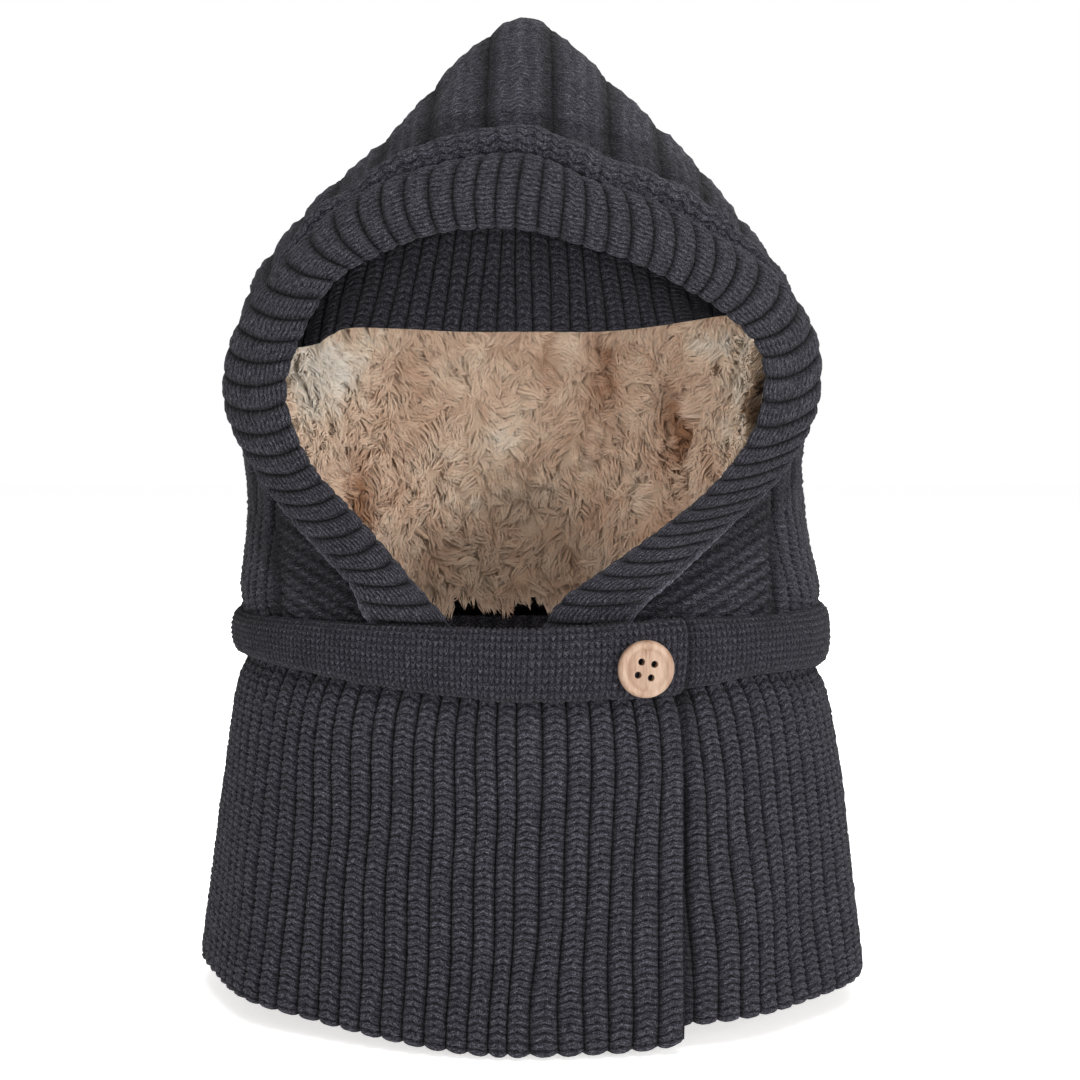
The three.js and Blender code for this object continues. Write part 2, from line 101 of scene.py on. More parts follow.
CUFF = [  # inner edge x y z, outer edge x y z, thickness
    [-21, -85.0, -171, -47, -78.4, -171, 2.8], [-25.3, -85.3, -164.8, -49.5, -78.4, -165, 3.6],
    [-28.6, -86.9, -160, -52.5, -80.8, -160.5, 6.5], [-36.7, -86.0, -151.2, -56, -78.3, -153, 8.5],
    [-46.7, -81.8, -140, -64.5, -71.3, -145.5, 9], [-57.9, -75.9, -128.8, -78, -58.5, -133, 9.3],
    [-67, -70.2, -119.8, -87, -47.5, -123, 9.5], [-74.5, -65.6, -106, -97, -36.5, -107.5, 9.5],
    [-76.2, -64.1, -93, -100, -32, -93.5, 9.5], [-71.4, -66.1, -79, -95.5, -37, -77, 9.5],
    [-60.5, -68.3, -62, -83, -43.5, -59.5, 9.5], [-44.4, -72.1, -52.7, -62, -47, -38.5, 9.5],
    [-26.1, -74.1, -47, -37, -53, -27, 9.5], [-3.8, -75.6, -46.3, -4, -56, -21.9, 9.5],
    [14.2, -76.9, -51.1, 18.8, -60, -30.7, 9.5], [29.9, -76.3, -56.1, 36, -58.5, -36, 9.5],
    [44.7, -72.9, -63.3, 56, -52, -46, 9.5], [59.2, -67, -72.1, 77, -38, -58.5, 9.5],
    [70.3, -60.9, -83.8, 91, -29.8, -77.5, 9.5], [71.3, -61.6, -99.3, 92.6, -31, -96, 9.5],
    [65, -67.2, -113.3, 88, -38.5, -109, 9.5], [52.9, -75.2, -126.4, 78, -51, -123, 9.3],
    [38.5, -82.3, -136.9, 62.5, -67.9, -135.3, 9], [21.5, -86.4, -148.4, 46, -79.5, -149, 8],
    [9.4, -87.5, -156.7, 35, -83.4, -157.5, 6], [4.4, -86.5, -163.5, 29, -82.8, -164.5, 4],
    [0.5, -86.3, -170, 24, -83.4, -171, 3],
]
# Across the cuff, from the end of its turned-in lip over its face to its outer foot
CUFF_FACE = [  # place, across, height in thicknesses, share of the way back to the lining
    [0.0, 0.0, 0.85, 1.0], [0.1, 0.0, 0.82, 0.55], [0.18, -0.01, 0.78, 0.24], [0.25, -0.015, 0.8, 0.07],
    [0.31, 0.0, 0.9, 0.0], [0.38, 0.08, 1.04, 0.0], [0.5, 0.25, 1.17, 0.0], [0.66, 0.54, 1.21, 0.0],
    [0.8, 0.82, 1.08, 0.0], [0.9, 0.97, 0.78, 0.0], [0.96, 1.0, 0.42, 0.0], [1.0, 0.98, 0.12, 0.0],
]
LIP_SPREAD = 0.17  # how far the lip leans outwards for each millimetre that it runs back
LIP_END = 8.6  # depth of its end under the hood's outside, just behind the lining
LIP_LONGEST = 46.0
ROLL = [  # cuff station, half width, height over the hood
    [9.2, 2.5, 0.8], [10.2, 4.5, 3.6], [11, 5.5, 6.0], [12, 6, 6.6], [13, 6.2, 7.0],
    [14, 6.8, 7.4], [15, 6.8, 7.4], [16, 6, 6.6], [17, 4.5, 4.2], [17.9, 2.5, 0.8],
]
ROLL_LIGHT = 1.14  # it stands out into the light
BROW = [  # x, y, lower edge
    [-78, -38.2, -83.6], [-72.5, -41.5, -82.6], [-67, -45.5, -81.5], [-58, -50, -77], [-42, -55.5, -77],
    [-22, -59, -78], [0, -60, -78], [20, -58.5, -78], [36, -54.5, -76.5],
    [49, -48.5, -74.5], [58.5, -42.5, -73.0], [66.5, -36, -72.4],
]
BROW_TUCK = 3.5  # how far it reaches up behind the cuff
BROW_LEAN = -0.0056  # its ribs lean towards the middle, the more the further out they are
BROW_SHADE = 0.45  # share of the light left under the cuff's lip
CAPE = [  # z, half width, front, back, power, centre
    [-178.8, 91.3, -87.1, 86.5, 2.25, -0.7], [-186.4, 91.5, -87.3, 86.7, 2.25, -0.6],
    [-189, 93.2, -89.1, 88.3, 2.25, -0.5], [-194, 95.6, -91, 90.3, 2.25, -0.4],
    [-202, 97.6, -92.4, 92.3, 2.25, -0.3], [-226, 101.8, -94.5, 95.5, 2.2, 0],
    [-253, 104.9, -96.3, 97.5, 2.2, 0], [-280, 108.5, -97.6, 99.5, 2.2, 0],
    [-292, 109.4, -98.2, 100.2, 2.2, 0],
]
BAND_RING = [97.1, -92.8, 93.2, 2.25, -0.8]
WRAP = [  # angle from the front towards -X, lift of the lap, band's top and bottom, hem
    [-27.5, 1, -162.6, -184.6, -287], [-24, 1, -163, -184.8, -288.6],
    [-10, 1, -164.4, -185.6, -289.4], [0, 0.92, -165.2, -186, -289.6],
    [12, 0.35, -165.2, -184.6, -288.6], [20, 0.05, -165.2, -183.8, -287.4],
    [45, 0, -165.6, -180.4, -283.8], [65, 0, -166.6, -179.4, -282.4], [90, 0, -167.4, -180.4, -281.6],
    [180, 0, -166.8, -184, -284], [270, 0, -166.2, -184.2, -282.6],
    [315, 0, -164.4, -181.6, -283], [330, 0, -163.6, -183.4, -283.2],
    [352, 0, -164.4, -184.6, -283.6],
]
LAP_SHADE = 0.75  # share of the light that the outer flap's edge takes from the layer beside it
LAP_SHADE_WIDTH = 3.4
HEM_SCALLOP = 1.3  # how far each rib hangs below its grooves at the hem
CAPE_FOLDS = 9
FOLD_DEPTH = 1.1
FOLD_DRIFT = 0.7  # how far the folds stray from even steps, in radians
FOLD_DRIFT_WIDTH = 31.0

# Where the pile is creamier (+) or browner (-), partly its own colour and partly painted: painted shade
# browns the folds and painted light lifts the side walls near the opening; and how far it is pressed in
PILE_SPOTS = [  # x, z, radius in x, radius in z, tone, pressed in
    [-77, -88, 15, 18, 1.7, 0.0], [64, -78, 11, 6, 1.4, 0.0], [-64, -136, 6, 22, -1.7, 6.0],
    [25, -92, 5, 18, -1.2, 5.0], [53, -114, 5.5, 26, -1.35, 5.0], [5, -94, 2.5, 20, -0.5, 2.5],
    [-48, -100, 8, 12, -0.5, 2.0], [-20, -122, 20, 26, 0.35, -2.5], [38, -150, 16, 12, -0.3, 1.0],
    [0, -150, 9, 12, 0.3, -1.0], [72, -110, 9, 20, 0.5, -1.0], [-30, -84, 10, 8, 0.4, -1.0],
    [78, -98, 6, 22, 0.9, -2.5],
]


# Curves and sections

class Rows:
    """A smooth curve through a table's rows; with a key column it never overshoots them."""

    def __init__(self, rows, keyed=True):
        data = np.array(rows, float)
        keys = data[:, 0] if keyed else np.arange(len(data), dtype=float)
        data = data[:, 1:] if keyed else data
        order = np.argsort(keys)
        self.keys = keys[order]
        self.data = data[order]
        steps = np.diff(self.keys)[:, None]
        rise = np.diff(self.data, axis=0) / steps
        slope = np.empty_like(self.data)
        slope[0] = rise[0]
        slope[-1] = rise[-1]
        slope[1:-1] = (self.data[2:] - self.data[:-2]) / (self.keys[2:] - self.keys[:-2])[:, None]
        if keyed:
            most = 3 * np.minimum(abs(rise[:-1]), abs(rise[1:]))
            calm = np.sign(slope[1:-1]) * np.minimum(abs(slope[1:-1]), most)
            slope[1:-1] = np.where(rise[:-1] * rise[1:] <= 0, 0, calm)
        self.slope = slope

    def __call__(self, place):
        place = np.asarray(place, float)
        k = np.clip(np.searchsorted(self.keys, place) - 1, 0, len(self.keys) - 2)
        step = (self.keys[k + 1] - self.keys[k])[..., None]
        t = np.clip((place - self.keys[k])[..., None] / step, 0, 1)
        change = self.data[k + 1] - self.data[k]
        first = self.slope[k] * step
        last = self.slope[k + 1] * step
        bend = 3 * change - 2 * first - last + t * (first + last - 2 * change)
        return self.data[k] + t * (first + t * bend)


hood_rows = Rows(HOOD)
cape_rows = Rows(CAPE)
wrap_rows = Rows(WRAP)
roll_rows = Rows(ROLL)
face_rows = Rows(CUFF_FACE)
cuff_rows = Rows(CUFF, keyed=False)
brow_rows = Rows(BROW, keyed=False)


def on_section(row, angle, z, grow=0.0):
    """A point of a section at an angle in radians, from the front towards +X."""
    half, front, back, power, centre = np.moveaxis(row, -1, 0)
    sine = np.sin(angle)
    cosine = np.cos(angle)
    x = centre + (half + grow) * np.sign(sine) * abs(sine) ** (2 / power)
    deep = (back - front) / 2 + grow
    y = (front + back) / 2 - deep * np.sign(cosine) * abs(cosine) ** (2 / power)
    return np.stack(np.broadcast_arrays(x, y, z), -1)


def hood_form(p):
    """A measure that is 1 on the hood's outside and less within."""
    half, front, back, power, centre = np.moveaxis(hood_rows(p[..., 2]), -1, 0)
    across = abs((p[..., 0] - centre) / half) ** power
    along = abs((p[..., 1] - (front + back) / 2) * 2 / (back - front)) ** power
    return (across + along) ** (1 / power)


def off_hood(p):
    """How far points lie outside the hood, and the hood's outward direction there."""
    step = 0.5
    slope = np.stack([hood_form(p + step * e) - hood_form(p - step * e) for e in np.eye(3)], -1)
    steep = np.linalg.norm(slope, axis=-1) / (2 * step)
    return (hood_form(p) - 1) / steep, unit(slope)


def over_hood(p, height):
    """The points moved until they lie the given height over the hood."""
    for _ in range(5):
        distance, out = off_hood(p)
        p = p + out * (height - distance)[..., None]
    return p


def unit(v):
    return v / np.maximum(np.linalg.norm(v, axis=-1, keepdims=True), 1e-12)


def lengths_along(line):
    """The length of a line of points from its start up to each of them."""
    return np.append(0, np.cumsum(np.linalg.norm(np.diff(line, axis=0), axis=1)))


def smooth_step(low, high, value):
    t = np.clip((value - low) / (high - low), 0, 1)
    return t * t * (3 - 2 * t)


def waves(p, size, seed):
    """Soft noise, mostly from -1 to 1, with bumps of about that size."""
    rng = np.random.default_rng(seed)
    total = 0.0
    for _ in range(7):
        way = unit(rng.normal(size=3)) * 2 * math.pi / (size * rng.uniform(0.7, 1.7))
        total = total + np.sin(p @ way + rng.uniform(0, 2 * math.pi))
    return total / 4


def cuff_polygon(grow):
    """The cuff's inner edge seen from the front, moved out by a distance and run off below."""
    rows = cuff_rows(np.linspace(0, len(CUFF) - 1, 160))
    edge = rows[:, [0, 2]]
    away = unit(rows[:, [3, 5]] - edge)
    edge = edge + away * grow
    ends = [[edge[-1, 0], -260.0], [edge[0, 0], -260.0]]
    return np.vstack([edge, ends])


def inside_polygon(points, polygon):
    """Which points lie inside a polygon of x and z, seen from the front."""
    x = points[..., 0]
    z = points[..., -1]
    inside = np.zeros(x.shape, bool)
    for (xa, za), (xb, zb) in zip(polygon, np.roll(polygon, -1, axis=0)):
        crosses = (za > z) != (zb > z)
        if abs(zb - za) > 1e-9:
            inside ^= crosses & (x < xa + (z - za) * (xb - xa) / (zb - za))
    return inside


# Materials

def material(name, roughness, sheen=0.0, sheen_rough=0.5):
    """A dull material, with its node tree and its shader."""
    m = bpy.data.materials.new(name)
    m.use_nodes = True
    shader = m.node_tree.nodes["Principled BSDF"]
    shader.inputs["Roughness"].default_value = roughness
    shader.inputs["Sheen Weight"].default_value = sheen
    shader.inputs["Sheen Roughness"].default_value = sheen_rough
    shader.inputs["Specular IOR Level"].default_value = 0.05
    return m, m.node_tree, shader


def add(tree, kind, settings=(), **inputs):
    """A node with its settings and inputs; an input is a value or another node's socket."""
    node = tree.nodes.new(kind)
    for key, value in dict(settings).items():
        setattr(node, key, value)
    for key, value in inputs.items():
        socket = node.inputs[int(key[1:])] if key[1:].isdigit() else node.inputs[key]
        if isinstance(value, bpy.types.NodeSocket):
            tree.links.new(value, socket)
        else:
            socket.default_value = value
    return node


def noise(tree, place, size, detail=2.0, rough=0.5):
    """Noise with features of about the given size in millimetres."""
    return add(tree, "ShaderNodeTexNoise", _0=place, Scale=1 / (size * MM), Detail=detail,
               Roughness=rough).outputs["Fac"]


def ramp(tree, factor, stops):
    """A colour that runs through the stops, each a place from 0 to 1 and a colour."""
    node = add(tree, "ShaderNodeValToRGB", Fac=factor)
    marks = node.color_ramp.elements
    while len(marks) < len(stops):
        marks.new(0.5)
    for mark, (at, colour) in zip(marks, stops):
        mark.position = at
        mark.color = (*colour, 1)
    return node.outputs["Color"]


def maths(tree, operation, a, b=0.5, c=0.5):
    return add(tree, "ShaderNodeMath", {"operation": operation}, _0=a, _1=b, _2=c).outputs[0]


def multiplied(tree, a, b):
    settings = {"data_type": "RGBA", "blend_type": "MULTIPLY"}
    return add(tree, "ShaderNodeMix", settings, _0=1.0, _6=a, _7=b).outputs[2]


def attribute(tree, name, output="Fac"):
    return add(tree, "ShaderNodeAttribute", {"attribute_name": name}).outputs[output]


def object_place(tree):
    return add(tree, "ShaderNodeTexCoord").outputs["Object"]


def scaled(tree, place, scale, turn=(0.0, 0.0, 0.0)):
    node = add(tree, "ShaderNodeMapping", {"vector_type": "POINT"}, _0=place, Scale=scale, Rotation=turn)
    return node.outputs[0]


def bump(tree, height, distance, strength=1.0, normal=None):
    node = add(tree, "ShaderNodeBump", Height=height, Distance=distance * MM, Strength=strength)
    if normal is not None:
        tree.links.new(normal, node.inputs["Normal"])
    return node.outputs["Normal"]


def dress_shader(tree, shader, colour, normal):
    """The shader takes this colour and this bump normal."""
    tree.links.new(colour, shader.inputs["Base Color"])
    tree.links.new(normal, shader.inputs["Normal"])


def yarn_material(name, dark, mid, light, fibre=0.5):
    """Heathered charcoal yarn: light fibres over a dark ground, with painted shade down in the grooves and
    painted light on the ridges.
    """
    m, tree, shader = material(name, 0.92, 0.04, 0.5)
    place = object_place(tree)
    along = scaled(tree, attribute(tree, "yarn", "Vector"), (0.3, 1.0, 1.0))
    strand = noise(tree, along, fibre, 3.0, 0.7)
    grain = noise(tree, place, 0.38, 2.0, 0.6)
    both = maths(tree, "MULTIPLY_ADD", strand, 0.5, maths(tree, "MULTIPLY", grain, 0.5))
    heather = ramp(tree, both, [(0.34, dark), (0.5, mid), (0.61, light), (0.72, light)])
    patches = noise(tree, place, 9, 2.0)
    shade = maths(tree, "MULTIPLY_ADD", patches, 0.5, 0.75)
    # Painted shade and light: each point's number darkens the colour in the knit's grooves and hollows and
    # lightens it on the ridges
    relief = attribute(tree, "relief")
    deep = add(tree, "ShaderNodeMapRange", _0=relief, _1=0.0, _2=2.2, _3=0.1, _4=2.65).outputs[0]
    strength = maths(tree, "MULTIPLY", shade, deep)
    grey = add(tree, "ShaderNodeCombineColor", _0=strength, _1=strength, _2=strength).outputs[0]
    rough = bump(tree, grain, 0.3, 0.8)
    dress_shader(tree, shader, multiplied(tree, heather, grey), bump(tree, strand, 0.4, 0.9, rough))
    return m


def fleece_material(name, root):
    """Beige pile with painted shade: browner at the roots and in the folds; creamier in places, partly its
    own colour and partly painted light.
    """
    m, tree, shader = material(name, 0.85, 0.3, 0.4)
    place = object_place(tree)
    tone = attribute(tree, "tone")
    height = attribute(tree, "relief")
    fibres = scaled(tree, attribute(tree, "yarn", "Vector"), (1.0, 0.05, 1.0))
    streak = noise(tree, fibres, 0.22, 2.0, 0.6)
    patches = noise(tree, place, 16, 2.0, 0.6)
    total = maths(tree, "MULTIPLY_ADD", patches, 0.8, tone)
    total = maths(tree, "MULTIPLY_ADD", streak, 0.16, total)
    colour = ramp(tree, maths(tree, "SUBTRACT", total, 0.48), [
        (0.0, (0.42, 0.225, 0.13)), (0.3, (0.68, 0.465, 0.335)), (0.5, (0.82, 0.62, 0.47)),
        (0.72, (0.89, 0.735, 0.58)), (1.0, (0.93, 0.88, 0.79))])
    # Painted shade: darker and browner towards the strands' roots and where the folds sink in
    dark = add(tree, "ShaderNodeMapRange", _0=height, _1=0.0, _2=0.85, _3=root, _4=1.0).outputs[0]
    warm = maths(tree, "POWER", dark, 1.35)
    grey = add(tree, "ShaderNodeCombineColor", _0=dark, _1=maths(tree, "POWER", dark, 1.15), _2=warm)
    lumps = bump(tree, noise(tree, place, 1.6, 2.0), 0.7, 0.7)
    dress_shader(tree, shader, multiplied(tree, colour, grey.outputs[0]), bump(tree, streak, 0.12, 0.5, lumps))
    return m


def wood_material():
    """Pale close-grained wood with fine streaks across the button."""
    m, tree, shader = material("pale_wood", 0.5)
    grain = scaled(tree, object_place(tree), (1.0, 1.0, 0.16), (0.0, 0.5, 0.0))
    streaks = noise(tree, grain, 0.7, 4.0, 0.6)
    broad = noise(tree, grain, 3.2, 2.0)
    total = maths(tree, "MULTIPLY_ADD", broad, 0.55, maths(tree, "MULTIPLY", streaks, 0.5))
    colour = ramp(tree, total, [(0.30, (0.13, 0.07, 0.042)), (0.43, (0.26, 0.155, 0.10)),
                                (0.58, (0.35, 0.235, 0.165)), (0.75, (0.43, 0.31, 0.235))])
    dress_shader(tree, shader, colour, bump(tree, streaks, 0.06, 0.5))
    shader.inputs["Specular IOR Level"].default_value = 0.4
    return m


RIB_YARN = yarn_material("charcoal_rib_yarn", (0.008, 0.0078, 0.0105), (0.026, 0.025, 0.0315),
                         (0.105, 0.102, 0.122))
BAND_YARN = yarn_material("charcoal_band_yarn", (0.0075, 0.0073, 0.0098), (0.0235, 0.0225, 0.0285),
                          (0.094, 0.091, 0.109), 0.42)
# The number is how dark the painted shade at the strands' roots is; the backing, deepest in the pile, gets
# the darkest
PILE = fleece_material("beige_pile", 0.86)
BACKING = fleece_material("pile_backing", 0.72)
WOOD = wood_material()


# Meshes

def make(name, look, slot, points, faces, normals=None, **values):
    """A mesh piece from points in millimetres, with numbers for each point under each name."""
    mesh = bpy.data.meshes.new(name)
    points = np.ascontiguousarray(points.reshape(-1, 3) * MM, np.float32)
    sides = faces.shape[1]
    mesh.vertices.add(len(points))
    mesh.vertices.foreach_set("co", points.ravel())
    mesh.loops.add(faces.size)
    mesh.loops.foreach_set("vertex_index", np.ascontiguousarray(faces, np.int32).ravel())
    mesh.polygons.add(len(faces))
    mesh.polygons.foreach_set("loop_start", np.arange(len(faces), dtype=np.int32) * sides)
    mesh.polygons.foreach_set("use_smooth", np.ones(len(faces), bool))
    for key, value in values.items():
        value = np.ascontiguousarray(value, np.float32)
        single = value.size == len(points)
        layer = mesh.attributes.new(key, "FLOAT" if single else "FLOAT_VECTOR", "POINT")
        layer.data.foreach_set("value" if single else "vector", value.ravel())
    mesh.update(calc_edges=True)
    mesh.validate()
    if normals is not None:
        mesh.normals_split_custom_set_from_vertices(normals.reshape(-1, 3))
    mesh.materials.append(look)
    piece = bpy.data.objects.new(name, mesh)
    bpy.context.scene.collection.objects.link(piece)
    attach(piece, "root")
    return piece


def grid_faces(rows, columns, keep=None, start=0):
    """Quads of a grid of points, only those whose four corners are kept."""
    index = np.arange(rows * columns).reshape(rows, columns) + start
    faces = np.stack([index[:-1, :-1], index[:-1, 1:], index[1:, 1:], index[1:, :-1]], -1)
    if keep is not None:
        whole = keep[:-1, :-1] & keep[:-1, 1:] & keep[1:, 1:] & keep[1:, :-1]
        return faces[whole]
    return faces.reshape(-1, 4)


RIB_PLACES = np.array([0, 0.06, 0.17, 0.36, 0.5, 0.64, 0.83, 0.94])
ROW_PLACES = np.array([0, 0.28, 0.72])


def rib_height(s, power=5.0):
    """A rib's outline across its width: 1 in the middle, 0 in the grooves."""
    return 1 - abs(2 * s - 1) ** power


def row_height(phase):
    """A row of stitches' outline down its height."""
    return np.sin(math.pi * phase) ** 0.8


def yarn_place(across, down):
    """Where each point lies along its yarn and across it, in metres."""
    across, down = np.broadcast_arrays(across, down)
    return np.stack([across, down, np.zeros(across.shape)], -1) * MM


def outward(surface, u, v, step_u, step_v):
    """The direction straight out of a surface given by u and v, both 0 to 1."""
    along = surface(np.clip(u + step_u, 0, 1), v) - surface(np.clip(u - step_u, 0, 1), v)
    down = surface(u, np.clip(v + step_v, 0, 1)) - surface(u, np.clip(v - step_v, 0, 1))
    return unit(np.cross(along, down))


def ribbed(surface, ribs, rows, deep, stitch, lean, side=1, rim=None, seed=1, part=None, fade=np.ones_like,
           slant=None, round_off=5.0):
    """Rib knit over a surface given by u across the ribs and v down them, both 0 to 1.

    Each rib stands up from its grooves by deep, and its rows of stitches by stitch, in
    millimetres; the rows hang down by lean at the rib's sides. Side is -1 where u and v turn
    the other way about. With a rim, the sheet's edges round off towards its middle. Fade gives
    the share of the ribs' depth that is left at each v, slant how far the ribs lean in u at each
    place, and round_off how flat the ribs' tops are.
    """
    first, last = part or (0, ribs)
    s = np.append(np.tile(RIB_PLACES, last - first), 1.0)
    u = (np.append(np.repeat(np.arange(first, last), len(RIB_PLACES)), last - 1) + s) / ribs
    v = np.append((np.arange(rows)[:, None] + ROW_PLACES).ravel() / rows, 1.0)
    phase = np.append(np.tile(ROW_PLACES, rows), 0.0)[:, None]
    u, v = np.meshgrid(u, v)
    flow = yarn_place(u * ribs * RIB_WIDTH, v * rows * ROW)
    s = np.broadcast_to(s, u.shape)
    edge = np.minimum(smooth_step(0, 0.04, v), smooth_step(0, 0.04, 1 - v))
    v = v + edge * lean * abs(2 * s - 1) ** 1.2 / (rows * ROW)
    loose = smooth_step(0, 2 / ribs, u) * smooth_step(0, 2 / ribs, 1 - u)
    u = u + loose * 0.13 * waves(flow / MM, 32, seed + 3) / ribs
    if slant is not None:
        u = u + slant(u, v)
    step = 0.2 / (ribs * 4)
    p = surface(u, v)
    out = outward(surface, u, v, step, step) * -side
    ridge = 1 - (1 - rib_height(s, round_off)) * fade(v)
    knot = row_height(phase)
    pit = np.exp(-((s - 0.5) / 0.08) ** 2)
    # Painted shade: darker in the grooves, between the rows and down each rib's middle
    relief = ridge * (0.3 + 0.7 * knot) - 0.25 * pit * (1 - 0.6 * knot)
    uneven = 1 + 0.22 * waves(p, 11, seed) + 0.12 * waves(p, 4, seed + 1)
    height = deep * (ridge - 0.8) * uneven + stitch * (knot - 0.6) * ridge ** 0.5
    height = height + 0.2 * waves(p, 3.1, seed + 2) - 0.2 * pit
    if rim is not None:
        far = np.minimum(*(np.minimum(t, 1 - t) * size for t, size in zip((u, v), rim)))
        height = height - edge_drop(far)
    return {"points": p + out * height[..., None], "faces": grid_faces(*u.shape), "relief": relief,
            "yarn": flow}


def edge_drop(far, thick=CAPE_THICK, width=2.6):
    """How much a sheet's face falls towards its middle, at a distance from its edge."""
    inward = np.clip(1 - far / width, 0, 1)
    return thick / 2 * (1 - np.sqrt(1 - inward ** 2))


def even(rows, first, last, count=600):
    """A table's places from first to last, at even steps along its inner and outer edges' middle."""
    place = np.linspace(first, last, count)
    row = rows(place)
    far = lengths_along((row[:, 0:3] + row[:, 3:6]) / 2)
    return lambda u: np.interp(np.clip(u, 0, 1) * far[-1], far, place)


# The hood: each rib runs up the front in a plane of its own, over the top and down the back

def hood_column(x0, angle):
    """Points down a line of the hood from the front's lower edge over the top to the back's."""
    z = np.linspace(WIDEST_Z, HOOD[0][0], 400)
    rows = hood_rows(z)
    clear = rows[:, 0] - abs(x0 - rows[:, 4])
    if (clear < 0).any():
        k = int(np.argmax(clear < 0))
        top = WIDEST_Z if k == 0 else z[k - 1] + (z[k] - z[k - 1]) * clear[k - 1] / (clear[k - 1] - clear[k])
    else:
        top = z[-1]
    w = np.linspace(1, 0, 90)
    z = top - (top - WIDEST_Z) * w ** 2
    rows = hood_rows(z)
    share = np.clip(abs(x0 - rows[:, 4]) / rows[:, 0], 0, 1)
    turn = np.arcsin(share ** (rows[:, 3] / 2))
    side = np.where(x0 >= rows[:, 4], 1.0, -1.0)
    front = on_section(rows, side * turn, z)
    back = on_section(rows, math.pi - side * turn, z)
    low = np.linspace(HOOD_BOTTOM, WIDEST_Z, 60)[:-1]
    low_front = on_section(hood_rows(low), angle, low)
    low_back = on_section(hood_rows(low), math.pi - angle, low)
    return np.vstack([low_front, front, back[::-1][1:], low_back[::-1]])


def spaced(line, places):
    """The line's points at the given shares of its length, and that length."""
    lengths = lengths_along(line)
    at = places * lengths[-1]
    return np.stack([np.interp(at, lengths, line[:, k]) for k in range(3)], -1), lengths[-1]


# Low on the hood's front, between two creases, slanted ribs take the broad ones' place
RIGHT_CREASE = -80.0
LEFT_CREASE = 75.0
CREASE_WIDTH = 2.0
GUSSET_Y = -20.0  # the slanted ribs lie ahead of this
SLANTED_RIB = 4.4
SLANTED_RISE = 0.5
GUSSET_START = (-110.0, -122.0)  # z where the slanted ribs begin and where they are whole
NECK_START = (-118.0, -142.0)  # the same for the neck's plain ribs
OVERLAP = 0.008  # how far each broad rib reaches under the next, as a share of its width
WALES = 4  # fine columns of stitches in each broad rib, the last one shared by its two grooves
BROAD_PLACES = np.array([0, 0.05, 0.11, 0.17, 0.25, 0.32, 0.375, 0.43, 0.5, 0.57, 0.625, 0.68, 0.75,
                         0.83, 0.89, 0.95])


